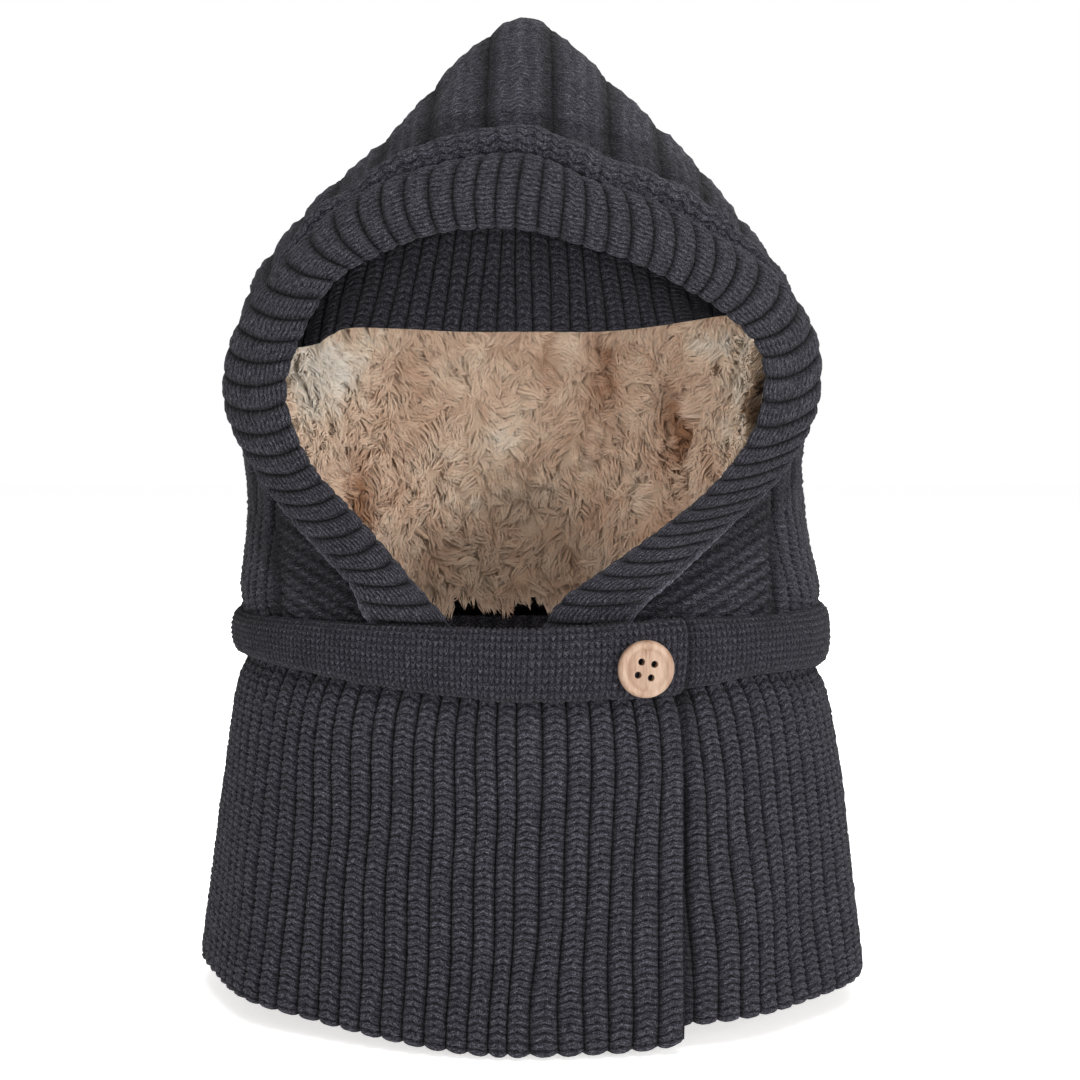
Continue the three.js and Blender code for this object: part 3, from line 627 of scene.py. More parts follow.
def hood_loops(first, last):
    """The hood's broad ribs from first up to last, as one knit."""
    edges = np.linspace(-math.pi / 2, math.pi / 2, HOOD_LOOPS + 1)
    widest = hood_rows(WIDEST_Z)
    hidden = cuff_polygon(HOOD_CUT)
    shaded = cuff_polygon(CUFF_SHADE)
    s = np.concatenate([[-OVERLAP], BROAD_PLACES[1:], [1 + OVERLAP]])
    broad = 1 - abs(2 * s - 1) ** 3
    wale = 0.5 + 0.5 * np.cos(2 * math.pi * WALES * (s - 0.5))
    side = abs((s * WALES + 0.5) % 1 - 0.5) * 2  # 0 in the middle of a column, 1 at its sides
    # The two plain ribs that each broad one becomes at the neck
    twin = rib_height(np.clip(s, 0, 1) * 2 % 1) * (s < 1)
    loops = []
    start = 0
    for k in range(first, last):
        angles = np.clip(edges[k] + (edges[k + 1] - edges[k]) * s, -math.pi / 2, math.pi / 2)
        x0 = on_section(widest, angles, WIDEST_Z)[:, 0]
        lines = [hood_column(x, a) for x, a in zip(x0, angles)]
        length = spaced(lines[len(s) // 2], np.zeros(1))[1]
        rows = max(int(length / ROW), 8)
        share = np.linspace(0, 1, rows * 2 + 1)
        phase = (np.arange(rows * 2 + 1) % 2) / 2
        fade = np.minimum(smooth_step(0, 0.03, share), smooth_step(0, 0.03, 1 - share))
        shift = np.sign(0.5 - share) * fade * 0.7 / length
        p = np.stack([spaced(line, np.clip(share - shift * c, 0, 1))[0]
                      for line, c in zip(lines, side)], 1)
        out = off_hood(p)[1]
        knot = row_height(phase)[:, None]
        # Painted shade: darker in the grooves between the broad ribs, their wales and their rows
        relief = (0.05 + 1.15 * broad) * (0.62 + 0.38 * wale) * (0.6 + 0.4 * knot)
        uneven = 1 + 0.2 * waves(p, 14, 3)
        high = 1.5 * (broad - 0.95) * uneven + 0.5 * (wale - 0.7) * (0.3 + 0.7 * broad)
        x, y, z = np.moveaxis(p, -1, 0)
        neck = smooth_step(*NECK_START, z)
        inwards_right = smooth_step(RIGHT_CREASE - 1, RIGHT_CREASE + 3, x)
        inwards_left = smooth_step(LEFT_CREASE + 1, LEFT_CREASE - 3, x)
        gusset = inwards_right * inwards_left * (y < GUSSET_Y)
        crease = sum(np.exp(-((x - at) / CREASE_WIDTH) ** 2) for at in (RIGHT_CREASE, LEFT_CREASE))
        crease = crease * (y < GUSSET_Y) * neck
        slanted = rib_height((z - SLANTED_RISE * abs(x)) / SLANTED_RIB % 1, 2.2)
        twins = twin * (1 - gusset) + slanted * gusset
        neck = np.maximum(neck, gusset * smooth_step(*GUSSET_START, z))
        under = inside_polygon(p, shaded) & (y < -10)
        # Painted shade: the neck's ribs are darker in their grooves; the hood under the cuff's roll and along
        # the creases is darker still
        relief = relief * (1 - neck) + neck * (0.1 + 0.9 * twins) * (0.4 + 0.6 * knot)
        relief = np.where(under, relief * 0.66, relief) * (1 - 0.65 * crease)
        low = (1.7 - 0.5 * gusset) * (twins - 0.9) * uneven - crease
        height = high + (low - high) * neck
        height = height + 0.5 * (knot - 0.5) + 0.3 * waves(p, 3.3, 4) + 0.6 * waves(p, 26, 5)
        p = p + out * height[..., None]
        section = hood_rows(p[..., 2])
        in_front = p[..., 1] < (section[..., 1] + section[..., 2]) / 2
        keep = ~(in_front & inside_polygon(p, hidden))
        flow = yarn_place((k + s)[None] * BROAD_WIDTH, share[:, None] * length)
        faces = grid_faces(*keep.shape, keep, start)
        loops.append((p.reshape(-1, 3), faces, relief.reshape(-1, 1), flow.reshape(-1, 3)))
        start += keep.size
    return dict(zip(("points", "faces", "relief", "yarn"), map(np.vstack, zip(*loops))))


half = HOOD_LOOPS // 2
hood_pieces = [make("hood_knit_right", RIB_YARN, "rib_knit", **hood_loops(0, half)),
               make("hood_knit_left", RIB_YARN, "rib_knit", **hood_loops(half, HOOD_LOOPS))]
for piece in hood_pieces:
    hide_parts("hood_shell")


# The cuff and the roll behind it

cuff_station = even(cuff_rows, 0, len(CUFF) - 1)
roll_station = even(cuff_rows, ROLL[0][0], ROLL[-1][0])


def lip_way(row):
    """The direction in which the cuff's lip runs back to the lining."""
    away = unit((row[..., 3:6] - row[..., 0:3]) * [1, 0, 1])
    return unit(away * LIP_SPREAD + [0.0, 1.0, 0.0])


def lip_lengths():
    """How far back the lip runs at each of many places along the cuff."""
    place = np.linspace(0, len(CUFF) - 1, 131)
    row = cuff_rows(place)
    way = lip_way(row)
    reach = np.zeros(len(place))
    for _ in range(60):
        distance, _ = off_hood(row[:, 0:3] + way * reach[:, None])
        reach = np.clip(reach + 0.6 * (distance + LIP_END), 0, LIP_LONGEST)
    weights = np.exp(-np.linspace(-1.5, 1.5, 9) ** 2)
    reach = np.convolve(np.pad(reach, 4, "edge"), weights / weights.sum(), "valid")
    return lambda station: np.interp(station, place, reach)


lip_length = lip_lengths()


def cuff_surface(u, v):
    """The cuff's outside: u runs along it, v from the end of its lip to its foot."""
    station = cuff_station(u)
    row = cuff_rows(station)
    across, height, back = np.moveaxis(face_rows(v), -1, 0)
    edge = row[..., 0:3] + (row[..., 3:6] - row[..., 0:3]) * across[..., None]
    _, out = off_hood(edge)
    p = edge + out * ((height - 1) * row[..., 6])[..., None]
    least = 0.6 + 0.2 * row[..., 6] * np.clip(height, 0, 1)
    distance, out = off_hood(p)
    lift = np.where(v > 0.25, np.clip(least - distance, 0, None), 0)
    return p + out * lift[..., None] + lip_way(row) * (back * lip_length(station))[..., None]


def sampled(surface, columns, rows):
    """The surface on a coarse grid, read back smoothly, for surfaces that are slow to work out."""
    u, v = np.meshgrid(np.linspace(0, 1, columns), np.linspace(0, 1, rows))
    net = surface(u, v)

    def read(u, v):
        a = np.clip(u, 0, 1) * (columns - 1)
        b = np.clip(v, 0, 1) * (rows - 1)
        i = np.clip(a.astype(int), 0, columns - 2)
        j = np.clip(b.astype(int), 0, rows - 2)
        a = (a - i)[..., None]
        b = (b - j)[..., None]

        def cubic(t, p0, p1, p2, p3):
            return p1 + 0.5 * t * (p2 - p0 + t * (2 * p0 - 5 * p1 + 4 * p2 - p3
                                                  + t * (3 * (p1 - p2) + p3 - p0)))

        def column(row):
            row = np.clip(row, 0, rows - 1)
            return cubic(a, *(net[row, np.clip(i + k, 0, columns - 1)] for k in (-1, 0, 1, 2)))
        return cubic(b, *(column(j + k) for k in (-1, 0, 1, 2)))
    return read


def cuff_fade(v):
    """The ribs' grooves run out towards the cuff's lip and towards its foot."""
    return (0.25 + 0.75 * smooth_step(0.15, 0.37, v)) * (1 - 0.85 * smooth_step(0.77, 0.95, v))


CUFF_SLANT = Rows([  # place along the cuff, how far its ribs' outer ends lean, how far they sag
    [0.0, 0, 0], [0.08, 2.5, -3.2], [0.25, 5, -3.4], [0.38, 11.5, -2], [0.44, 8, -1], [0.5, 0, 0],
    [0.56, -8, 1], [0.62, -11.5, 2], [0.75, -5, 3.4], [0.92, -2.5, 3.2], [1.0, 0, 0],
])
CUFF_LENGTH = 430.0


def cuff_slant(u, v):
    lean, sag = np.moveaxis(CUFF_SLANT(u), -1, 0)
    across = np.clip((v - 0.3) / 0.65, 0, 1)
    return (lean * across ** 1.4 + sag * np.sin(math.pi * across)) / CUFF_LENGTH


cuff_net = sampled(cuff_surface, 220, 40)
padding = ribbed(cuff_net, CUFF_RIBS, 28, 1.5, 0.8, 1.3, side=-1, seed=11, fade=cuff_fade, slant=cuff_slant,
                 round_off=3.2)
# A painted highlight runs along the cuff's foot, where its rim catches the light, strongest at the ends of
# its arms
down, along = (np.linspace(0, 1, count) for count in padding["relief"].shape)
foot_highlight = np.exp(-((down[:, None] - 0.9) / 0.035) ** 2)
padding["relief"] = padding["relief"] + (0.2 + 1.2 * abs(2 * along - 1) ** 1.6) * foot_highlight
face_cuff = make("face_cuff_knit", RIB_YARN, "rib_knit", **padding)
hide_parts("face_cuff")


def roll_surface(u, v):
    """The roll of knit behind the cuff: u runs along it, v over it from the cuff outwards."""
    station = roll_station(u)
    half_width, height = np.moveaxis(roll_rows(station), -1, 0)
    row = cuff_rows(station)
    outer = row[..., 3:6]
    away = unit(outer - row[..., 0:3])
    turn = math.pi * (v - 0.5) * 1.25
    place = outer + away * (1.6 + half_width * (1 + np.sin(np.clip(turn, -1.9, 1.9))))[..., None]
    rise = height * np.cos(turn) * (1 + 0.28 * waves(place, 21, 21) + 0.06 * waves(place, 9, 22))
    return over_hood(place, np.maximum(rise, -1.2))


roll_net = sampled(roll_surface, 120, 24)
roll = ribbed(roll_net, ROLL_RIBS, 10, 0.4, 0.32, 1.1, side=-1, seed=23, round_off=2.4,
              fade=lambda v: np.full_like(v, 0.5))
roll["relief"] = roll["relief"] * ROLL_LIGHT
hood_roll = make("hood_roll_knit", RIB_YARN, "rib_knit", **roll)


# The forehead band

upper = np.array(CUFF)[8:20]  # the stations over the opening
opening_top = Rows(upper[:, [0, 2]])


def brow_surface(u, v):
    """The forehead band's outside: u runs across it, v down it."""
    x = BROW[0][0] + (BROW[-1][0] - BROW[0][0]) * u
    station = np.interp(x, [row[0] for row in BROW], np.arange(len(BROW)))
    x, y, bottom = np.moveaxis(brow_rows(station), -1, 0)
    lean = BROW_LEAN * x * (opening_top(x)[..., 0] + BROW_TUCK - bottom)
    top = opening_top(x + lean)[..., 0] + BROW_TUCK
    z = top + (bottom - top) * v
    return np.stack([x + lean * (1 - v), y - 0.4 * np.sin(math.pi * v), z], -1)


band = ribbed(brow_surface, BROW_RIBS, 14, 1.5, 0.8, 1.2, seed=31)
band["relief"] = band["relief"] * BROW_SHADE
forehead = make("forehead_knit", RIB_YARN, "rib_knit", **band)
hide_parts("forehead_band")


# The collar band and the cape, wrapped round with a lap at the front

def wrap_angles(row, count=721):
    """Angles of the wrap, in degrees, at equal steps along its length."""
    angle = np.linspace(WRAP[0][0], WRAP[-1][0], count)
    far = lengths_along(on_section(row, -np.radians(angle), 0.0))
    return lambda u: np.interp(np.clip(u, 0, 1) * far[-1], far, angle), far[-1]


cape_angle, cape_length = wrap_angles(cape_rows(-240.0))
band_angle, band_length = wrap_angles(np.array(BAND_RING))


def lap_shift(u, z):
    """How far the outer flap is drawn in, in degrees, so that its edge hangs straight down."""
    straight = np.interp(z, [-288, -165], [6.0, 2.8])
    return straight * (1 - smooth_step(0.0, 0.16, u))


def cape_surface(u, v, inner=0.0):
    """The cape's outside, or a surface that far within: u runs round it, v down it."""
    angle = cape_angle(u)
    lift, _, bottom, hem = np.moveaxis(wrap_rows(angle), -1, 0)
    risen = np.clip(bottom - BAND_FOOT, 0, None)
    scallop = HEM_SCALLOP * abs(np.sin(math.pi * u * CAPE_RIBS)) ** 0.6
    z = CAPE_TOP + risen + (hem - CAPE_TOP - risen) * v - scallop * smooth_step(0.93, 1.0, v)
    angle = angle + lap_shift(u, z)
    grow = lift * (CAPE_THICK + LAYER_GAP) - inner
    row = cape_rows(z - risen * smooth_step(-225, -192, z))
    p = on_section(row, -np.radians(angle), z, grow)
    drape = smooth_step(-195, -260, z)
    drift = FOLD_DRIFT * np.sin(p[..., 0] / FOLD_DRIFT_WIDTH)
    folds = drape * FOLD_DEPTH * np.sin(np.radians(angle) * CAPE_FOLDS + drift)
    return p + unit(p * [1, 1, 0]) * folds[..., None]


def beside_lap(p):
    """The share of light left on the under layer close to the outer flap's edge."""
    far = np.clip(p[..., 0] - LAP_EDGE, 0, None)
    return np.where(p[..., 1] < 0, 1 - LAP_SHADE * np.exp(-(far / LAP_SHADE_WIDTH) ** 2), 1.0)


CAPE_SIZE = (cape_length, CAPE_HEIGHT)
cape_half = CAPE_RIBS // 2
CAPE_PARTS = [  # name, first rib and the one after the last, runs under the lap
    ("cape_knit_front", (0, cape_half), False),
    ("cape_knit_back", (cape_half, CAPE_RIBS), True),
]
for name, part, under_lap in CAPE_PARTS:
    knit = ribbed(cape_surface, CAPE_RIBS, 48, 1.8, 0.8, 1.3, side=-1, rim=CAPE_SIZE, seed=41, part=part)
    if under_lap:
        knit["relief"] = knit["relief"] * beside_lap(knit["points"])
    piece = make(name, RIB_YARN, "rib_knit", **knit)
    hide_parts("cape")

u, v = np.meshgrid(np.linspace(0, 1, CAPE_RIBS * 4 + 1), np.linspace(0, 1, 36))
p = cape_surface(u, v, CAPE_THICK)
out = unit(p * [1, 1, 0])
ridge = np.sin(math.pi * u * CAPE_RIBS) ** 2
far = np.minimum(np.minimum(u, 1 - u) * CAPE_SIZE[0], (1 - v) * CAPE_SIZE[1])
rise = edge_drop(far) - 1.1 * (ridge - 0.5)
# Painted shade: the cape's inside is darker than its outside, most of all in its grooves
cape_inside = make("cape_inside_knit", RIB_YARN, "rib_knit", p + out * rise[..., None], grid_faces(*u.shape),
                   relief=0.4 + 0.5 * ridge, yarn=yarn_place(u * CAPE_SIZE[0], v * CAPE_SIZE[1]))

BAND_FACE = Rows([  # place, share of the height, depth
    [0.0, 0.1, -7.6], [0.07, 0.03, -5.6], [0.14, -0.02, -3.2], [0.21, 0.04, -1.1], [0.3, 0.16, 0.1],
    [0.5, 0.5, 0.6], [0.72, 0.86, 0], [0.8, 0.98, -1.3], [0.88, 1.02, -3.2], [1.0, 0.95, -5.4],
])


def band_surface(u, v):
    """The collar band's outside: u runs round it, v from its upper edge over its face to its lower one."""
    angle = band_angle(u)
    lift, top, bottom, _ = np.moveaxis(wrap_rows(angle), -1, 0)
    share, depth = np.moveaxis(BAND_FACE(v), -1, 0)
    z = top + (bottom - top) * share
    angle = angle + lap_shift(u, z)
    row = np.broadcast_to(np.array(BAND_RING), (*z.shape, 5))
    return on_section(row, -np.radians(angle), z, lift * (BAND_THICK + LAYER_GAP) + depth)


def plain_knit(surface, length, height, stitch):
    """Fine plain knit: columns of V stitches, over a surface given by u and v."""
    wales = int(length / stitch)
    courses = int(height / ROW)
    s = np.append(np.tile([0, 0.25, 0.5, 0.75], wales), 0.0)
    u = np.linspace(0, 1, wales * 4 + 1)
    v = np.linspace(0, 1, courses * 2 + 1)
    phase = np.append(np.tile([0, 0.5], courses), 0.0)
    u, v = np.meshgrid(u, v)
    place = v * height
    v = np.clip(v + 0.45 / courses * (1 - abs(2 * s - 1)) - 0.2 / courses, 0, 1)
    p = surface(u, v)
    out = outward(surface, u, v, 0.0004, 0.008)
    leg = np.sin(math.pi * s) ** 0.8
    knot = np.sin(math.pi * phase)[:, None]
    # These numbers shape the stitches and also paint shade: darker between the legs and between the rows
    relief = (0.3 + 0.75 * leg) * (0.3 + 0.7 * knot)
    far = np.minimum(u, 1 - u) * length
    rise = 0.75 * (relief - 0.5) + 0.25 * waves(p, 8, 51) - edge_drop(far, BAND_THICK)
    light = np.where(u > 0.6, beside_lap(p), 1.0)  # only the end that runs under the lap is shaded
    return {"points": p + out * rise[..., None], "faces": grid_faces(*u.shape), "relief": relief * light,
            "yarn": yarn_place(u * length, place)}


collar = make("collar_band_knit", BAND_YARN, "band_knit",
              **plain_knit(band_surface, band_length, BAND_HEIGHT, BAND_STITCH))
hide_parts("collar_band")


# The lining: a backing with lumps and folds, and pile in tufts

PILE_DEPTH = SHELL_THICK + LINING_GAP + LINING_THICK
EDGE_TURN = 5.0  # how far the lower edge turns back towards the hood
OPENING_Y = 20.0  # the face opening is cut only ahead of this
FRONT_Y = -15.0  # the front wall's pile lies ahead of this
BEHIND_CUFF_Y = -25.0  # the cuff hides pile ahead of this
BEHIND_BROW_Y = -22.0  # the forehead band hides pile ahead of this
BEHIND_BROW_Z = (-75.0, -36.0)  # and between these heights
FRINGE_LOCKS = 200


def spots(p):
    """How much creamier the pile is, partly its own colour and partly painted shade and light, and how far it
    is pressed in, at each point.
    """
    tone = 0.0
    pressed = 0.0
    for x, z, wide, high, shade, push in PILE_SPOTS:
        near = np.exp(-(((p[..., 0] - x) / wide) ** 2 + ((p[..., 2] - z) / high) ** 2))
        tone = tone + shade * near
        pressed = pressed + push * near
    return tone, pressed


def lining_point(angle, z, depth):
    """Points at a depth under the hood's outside, and the inward direction there."""
    p = on_section(hood_rows(z), angle, z)
    _, out = off_hood(p)
    return p - out * depth[..., None], -out


def backing_depth(p):
    """How deep the lumpy backing lies under the hood's outside."""
    _, pressed = spots(p)
    depth = PILE_DEPTH - 2.6 + 1.7 * waves(p, 26, 61) + 1.5 * waves(p, 11, 62) - pressed
    return np.maximum(depth, SHELL_THICK + LINING_GAP)


def wall(angle, z):
    """Points of the backing, and the inward direction there."""
    p, _ = lining_point(angle, z, np.full(angle.shape, PILE_DEPTH))
    return lining_point(angle, z, backing_depth(p))


heights = np.append(np.linspace(LINING_TOP, LINING_BOTTOM, 112), LINING_BOTTOM)
angle, z = np.meshgrid(np.linspace(0, 2 * math.pi, 181), heights)
p, inward = wall(angle, z)
p[-1] -= inward[-1] * EDGE_TURN
keep = ~((p[..., 1] < OPENING_Y) & inside_polygon(p, cuff_polygon(MOUTH_GAP)))
tone, _ = spots(p)
# Painted shade: the backing is darker than the pile's tips, and browner in the folds
lining = make("lining_backing", BACKING, "fleece", p, grid_faces(*angle.shape, keep),
              tone=0.5 + 0.35 * tone, relief=np.full(angle.shape, 0.35),
              yarn=yarn_place(np.degrees(angle) * 1.5, z))
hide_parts("hood_lining")

STRAND_PLACES = np.array([0.0, 0.55, 1.0])
STRAND_WIDTHS = np.array([1.0, 0.9])
STRAND_POINTS = 5  # two at each place but the tip, which has one


def pile_mesh(angle, z, strands, length, seed, droop=0.0):
    """Locks of pile rooted in the backing: strands that draw together towards the lock's tip."""
    rng = np.random.default_rng(seed)
    roots, inward = wall(angle, z)
    down = unit(np.array([0, 0, -1.0]) + inward * inward[:, 2:])
    side = unit(np.cross(inward, down))
    n = len(roots)
    m = n * strands
    swirl = 1.5 * waves(roots, 26, 71) + 1.1 * waves(roots, 11, 72) + rng.normal(0, 0.3, n)
    swirl = (swirl * (1 - droop))[:, None]
    way = down * np.cos(swirl) + side * np.sin(swirl)
    turned = side * np.cos(swirl) - down * np.sin(swirl)
    reach = length * rng.uniform(0.7, 1.2, (n, 1))
    curl = rng.normal(0, 0.16, (n, 1)) * reach
    tip = way * reach + turned * curl + inward * rng.uniform(2.0, 4.6, (n, 1))

    def each(value):
        return np.repeat(value, strands, 0)

    near = rng.normal(0, 1, (m, 2))
    off = each(turned) * near[:, :1] * 1.1 + each(way) * near[:, 1:] * 1.2
    root = each(roots) + off
    end = each(roots + tip) + off * 0.35 + rng.normal(0, 0.3, (m, 3)) + each(way) * rng.normal(0, 0.8, (m, 1))
    t = STRAND_PLACES[None, :, None]
    arch = 4 * t * (1 - t)
    lift = each(inward) * rng.uniform(0.6, 2.2, (m, 1)) + off * 0.25
    line = root[:, None] * (1 - t) + end[:, None] * t + lift[:, None] * arch
    flat = unit(unit(np.cross(end - root, each(inward))) + rng.normal(0, 0.22, (m, 3)))
    wide = flat[:, None] * (rng.uniform(0.18, 0.36, (m, 1)) * STRAND_WIDTHS)[..., None]
    facing = unit(each(inward) + [0, -0.4, 0] + off * 0.3 + each(way) * 0.2 + rng.normal(0, 0.04, (m, 3)))
    points = np.concatenate([line[:, :2] - wide, line[:, :2] + wide, line[:, 2:]], 1)
    order = np.array([[0, 2, 3], [0, 3, 1], [1, 3, 4]])
    faces = (np.arange(m)[:, None, None] * STRAND_POINTS + order).reshape(-1, 3)
    along = np.append(np.tile(STRAND_PLACES[:2], 2), 1.0)
    tone = 0.5 + each(rng.normal(0, 0.05, n)) + rng.normal(0, 0.02, m)
    shade, _ = spots(root)
    across = np.broadcast_to(np.repeat([0.0, 0.5, 0.25], [2, 2, 1]), (m, STRAND_POINTS))
    flow = yarn_place(across + np.arange(m)[:, None] * 1.7, along * length)
    # Painted shade: strands are darker towards their roots and in the folds; the spots add painted shade in
    # the folds and painted light on shaded walls
    fold_shade = np.clip(1 + 0.3 * np.minimum(shade, 0), 0.4, 1)
    return {"points": points, "faces": faces, "yarn": flow,
            "relief": np.tile(0.2 + 0.85 * along, m) * np.repeat(fold_shade, STRAND_POINTS),
            "tone": np.repeat(tone + 0.3 * shade, STRAND_POINTS),
            "normals": np.repeat(facing, STRAND_POINTS, 0)}


def scatter(count, seed, low, high, front):
    """Places spread evenly over the lining, clear of the face opening."""
    rng = np.random.default_rng(seed)
    z = rng.uniform(low, high, count * 6)
    z = z[rng.uniform(0, WIDEST_HALF, len(z)) < hood_rows(z)[:, 0]]
    angle = rng.uniform(0, 2 * math.pi, len(z))
    p, _ = wall(angle, z)
    _, y, height = p.T
    in_opening = inside_polygon(p, cuff_polygon(PILE_GAP)) & (y < OPENING_Y)
    behind_cuff = inside_polygon(p, cuff_polygon(CUFF_HIDES)) & (y < BEHIND_CUFF_Y)
    behind_brow = (height > BEHIND_BROW_Z[0]) & (height < BEHIND_BROW_Z[1]) & (y < BEHIND_BROW_Y)
    chosen = ~(in_opening | behind_cuff | behind_brow)
    if front is not None:
        chosen &= (y < FRONT_Y) == front
    return angle[chosen][:count], z[chosen][:count]


PILE_PARTS = [  # name, locks, lowest, highest, on the front wall, strands, length
    ("lining_pile_back", 4300, -171.5, -64, False, 15, 6.2),
    ("lining_pile_front", 1300, -171.5, -64, True, 8, 6.5),
    ("lining_pile_crown", 1500, -64, 16, None, 7, 8.0),
]
for k, (name, count, low, high, front, strands, length) in enumerate(PILE_PARTS):
    angle, z = scatter(count, 80 + k, low, high, front)
    make(name, PILE, "fleece", **pile_mesh(angle, z, strands, length, 90 + k))
angle = np.random.default_rng(97).uniform(math.pi * 0.45, math.pi * 1.55, FRINGE_LOCKS)
fringe = pile_mesh(angle, np.full(len(angle), LINING_BOTTOM + 2.5), 14, 7.5, 98, 0.75)
make("lining_pile_fringe", PILE, "fleece", **fringe)


# The button

BUTTON_DIAMETER = 17.0
BUTTON_X = 32.4
BUTTON_Z = -176.3
BUTTON_GAP = 0.9  # between the band and the button's underside
BUTTON_PROFILE = [  # inset from the rim, height over the underside
    [1.4, 0], [0.6, 0.25], [0.12, 0.9], [0, 1.6], [0.08, 2.4], [0.4, 3.1], [1.0, 3.5], [1.6, 3.6],
    [2.1, 3.5], [2.5, 3.05], [3.0, 2.62], [3.8, 2.5],
]
BUTTON_DISH = 2.46  # height of the face's sunk middle
BUTTON_HOLES = [  # place across and up from the middle
    [1.53, 2.2], [-2.4, 1.4], [2.6, -1.62], [-1.35, -2.55],
]
HOLE_RADIUS = 1.05
BUTTON_TURNS = 96  # points round the rim


def turned_button():
    """The button without its holes, its face towards +Y."""
    inset, height = np.array(BUTTON_PROFILE).T[..., None]
    radius = BUTTON_DIAMETER / 2 - inset
    around = np.linspace(0, 2 * math.pi, BUTTON_TURNS, endpoint=False)
    height = np.repeat(height, BUTTON_TURNS, 1)
    rings = np.stack([radius * np.cos(around), height, radius * np.sin(around)], -1)
    points = np.vstack([rings.reshape(-1, 3), [[0, 0, 0], [0, BUTTON_DISH, 0]]]) * MM
    last = (len(rings) - 1) * BUTTON_TURNS
    steps = [(j, (j + 1) % BUTTON_TURNS) for j in range(BUTTON_TURNS)]
    faces = []
    for low in range(0, last, BUTTON_TURNS):
        high = low + BUTTON_TURNS
        faces += [[low + j, high + j, high + k, low + k] for j, k in steps]
    for j, k in steps:
        faces.append([len(points) - 2, j, k])
        faces.append([len(points) - 1, last + k, last + j])
    mesh = bpy.data.meshes.new("button_wood")
    mesh.from_pydata(points.tolist(), [], faces)
    mesh.update()
    body = bpy.data.objects.new("button_wood", mesh)
    bpy.context.scene.collection.objects.link(body)
    return body


def drill(body):
    """The body's mesh with the four holes cut through it."""
    cutters = []
    for x, z in BUTTON_HOLES:
        bpy.ops.mesh.primitive_cylinder_add(
            vertices=28, radius=HOLE_RADIUS * MM, depth=12 * MM,
            location=(x * MM, 1.5 * MM, z * MM), rotation=(math.pi / 2, 0, 0))
        cutters.append(bpy.context.object)
    for cutter in cutters:
        cut = body.modifiers.new("hole", "BOOLEAN")
        cut.operation = "DIFFERENCE"
        cut.object = cutter
        cut.solver = "EXACT"
    bpy.context.view_layer.update()
    done = bpy.data.meshes.new_from_object(body.evaluated_get(bpy.context.evaluated_depsgraph_get()))
    body.modifiers.clear()
    for cutter in cutters:
        bpy.data.objects.remove(cutter)
    return done


def button_place():
    """Where the button's underside lies on the band's outer flap, and the way that its face looks."""
    angles = np.radians(np.linspace(5, 40, 3501))
    line = on_section(np.array(BAND_RING), angles, BUTTON_Z, BAND_THICK + LAYER_GAP)
    k = int(np.argmax(line[:, 0] >= BUTTON_X))
    along = unit(line[k + 50] - line[k - 50])
    out = np.array([along[1], -along[0], 0])
    return line[k] + out * BUTTON_GAP, out


def button():
    body = turned_button()
    body.data = drill(body)
    place, out = button_place()
    turn = Vector((0, 1, 0)).rotation_difference(Vector(out))
    body.data.transform(turn.to_matrix().to_4x4())
    body.data.transform(Matrix.Translation(Vector(place * MM)))
    body.data.materials.clear()
    body.data.materials.append(WOOD)
    for face in body.data.polygons:
        face.use_smooth = True
    body.data.set_sharp_from_angle(angle=math.radians(40))
    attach(body, "root")
    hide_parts("button")


button()

# The stage, the light and the camera

FLOOR_GLOW = 0.62
SKY_LIGHT = 0.38  # strength as a light; the camera sees the sky as plain white
LIGHTS_AIM = (0, 0, -0.13)
LIGHTS = [  # name, place, size, power
    ("left", (-0.5, -1.25, 0.05), 0.6, 2.8), ("right", (0.75, -1.1, 0.1), 0.6, 7.5),
    ("top", (0.1, -0.45, 1.05), 0.8, 11.0), ("back", (0.3, 1.3, 0.6), 0.8, 20.0),
]
BEAMS = [  # place, place that it is aimed at, power
    ((-0.32, -0.9, -0.13), (0.0098, -0.04, -0.112), 8.6),
    ((0.32, -0.9, -0.13), (-0.0158, -0.04, -0.112), 12.2),
]
BEAM_WIDTH = 11.5  # in degrees


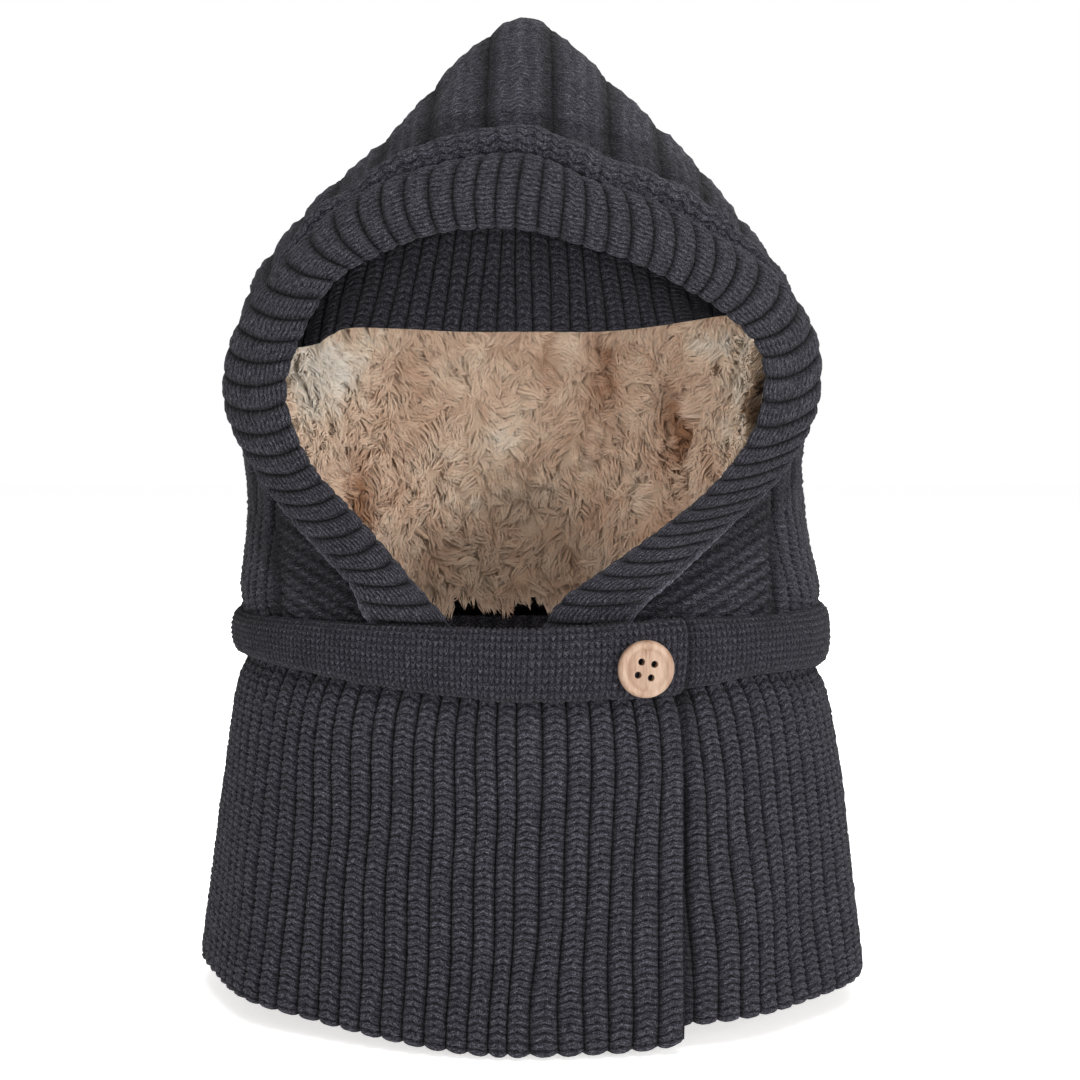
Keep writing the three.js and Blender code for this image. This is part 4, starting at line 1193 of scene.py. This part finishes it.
def look_at(piece, place, target):
    """Puts a lamp or the camera in its place and turns it to its target."""
    piece.location = place
    piece.rotation_euler = (Vector(target) - Vector(place)).to_track_quat("-Z", "Y").to_euler()


def add_lamp(name, kind, power):
    light = bpy.data.lights.new(name, kind)
    light.energy = power
    lamp = bpy.data.objects.new(name, light)
    bpy.context.scene.collection.objects.link(lamp)
    return lamp


bpy.ops.mesh.primitive_plane_add(size=6, location=(0, 0, FLOOR_Z * MM))
floor = bpy.context.object
floor.name = "floor"
paper, _, shader = material("white_paper", 0.9)
shader.inputs["Base Color"].default_value = (0.92, 0.92, 0.92, 1)
shader.inputs["Emission Color"].default_value = (1, 1, 1, 1)
shader.inputs["Emission Strength"].default_value = FLOOR_GLOW
floor.data.materials.append(paper)

world = bpy.data.worlds.new("studio")
bpy.context.scene.world = world
world.use_nodes = True
sky = world.node_tree
white = sky.nodes["Background"]
seen = add(sky, "ShaderNodeLightPath").outputs["Is Camera Ray"]
white.inputs["Color"].default_value = (1, 1, 1, 1)
sky.links.new(maths(sky, "MULTIPLY_ADD", seen, 1 - SKY_LIGHT, SKY_LIGHT), white.inputs["Strength"])

for name, place, size, power in LIGHTS:
    lamp = add_lamp(name, "AREA", power)
    lamp.data.size = size
    look_at(lamp, place, LIGHTS_AIM)

for place, aim, power in BEAMS:  # soft beams that cross in the face opening
    beam = add_lamp("into_the_hood", "SPOT", power)
    beam.data.spot_size = math.radians(BEAM_WIDTH)
    beam.data.spot_blend = 0.8
    beam.data.shadow_soft_size = 0.06
    look_at(beam, place, aim)

glow = add_lamp("under_the_crown", "POINT", 0.047)  # a faint fill behind the forehead band
glow.data.shadow_soft_size = 0.018
glow.visible_camera = False
glow.location = (-0.003, -0.015, -0.055)

camera = bpy.data.objects.new("camera", bpy.data.cameras.new("camera"))
bpy.context.scene.collection.objects.link(camera)
camera.data.lens = LENS
camera.data.sensor_width = SENSOR_WIDTH
look_at(camera, Vector(EYE) * MM, Vector(TARGET) * MM)
bpy.context.scene.camera = camera
bpy.context.scene.view_settings.view_transform = "Standard"
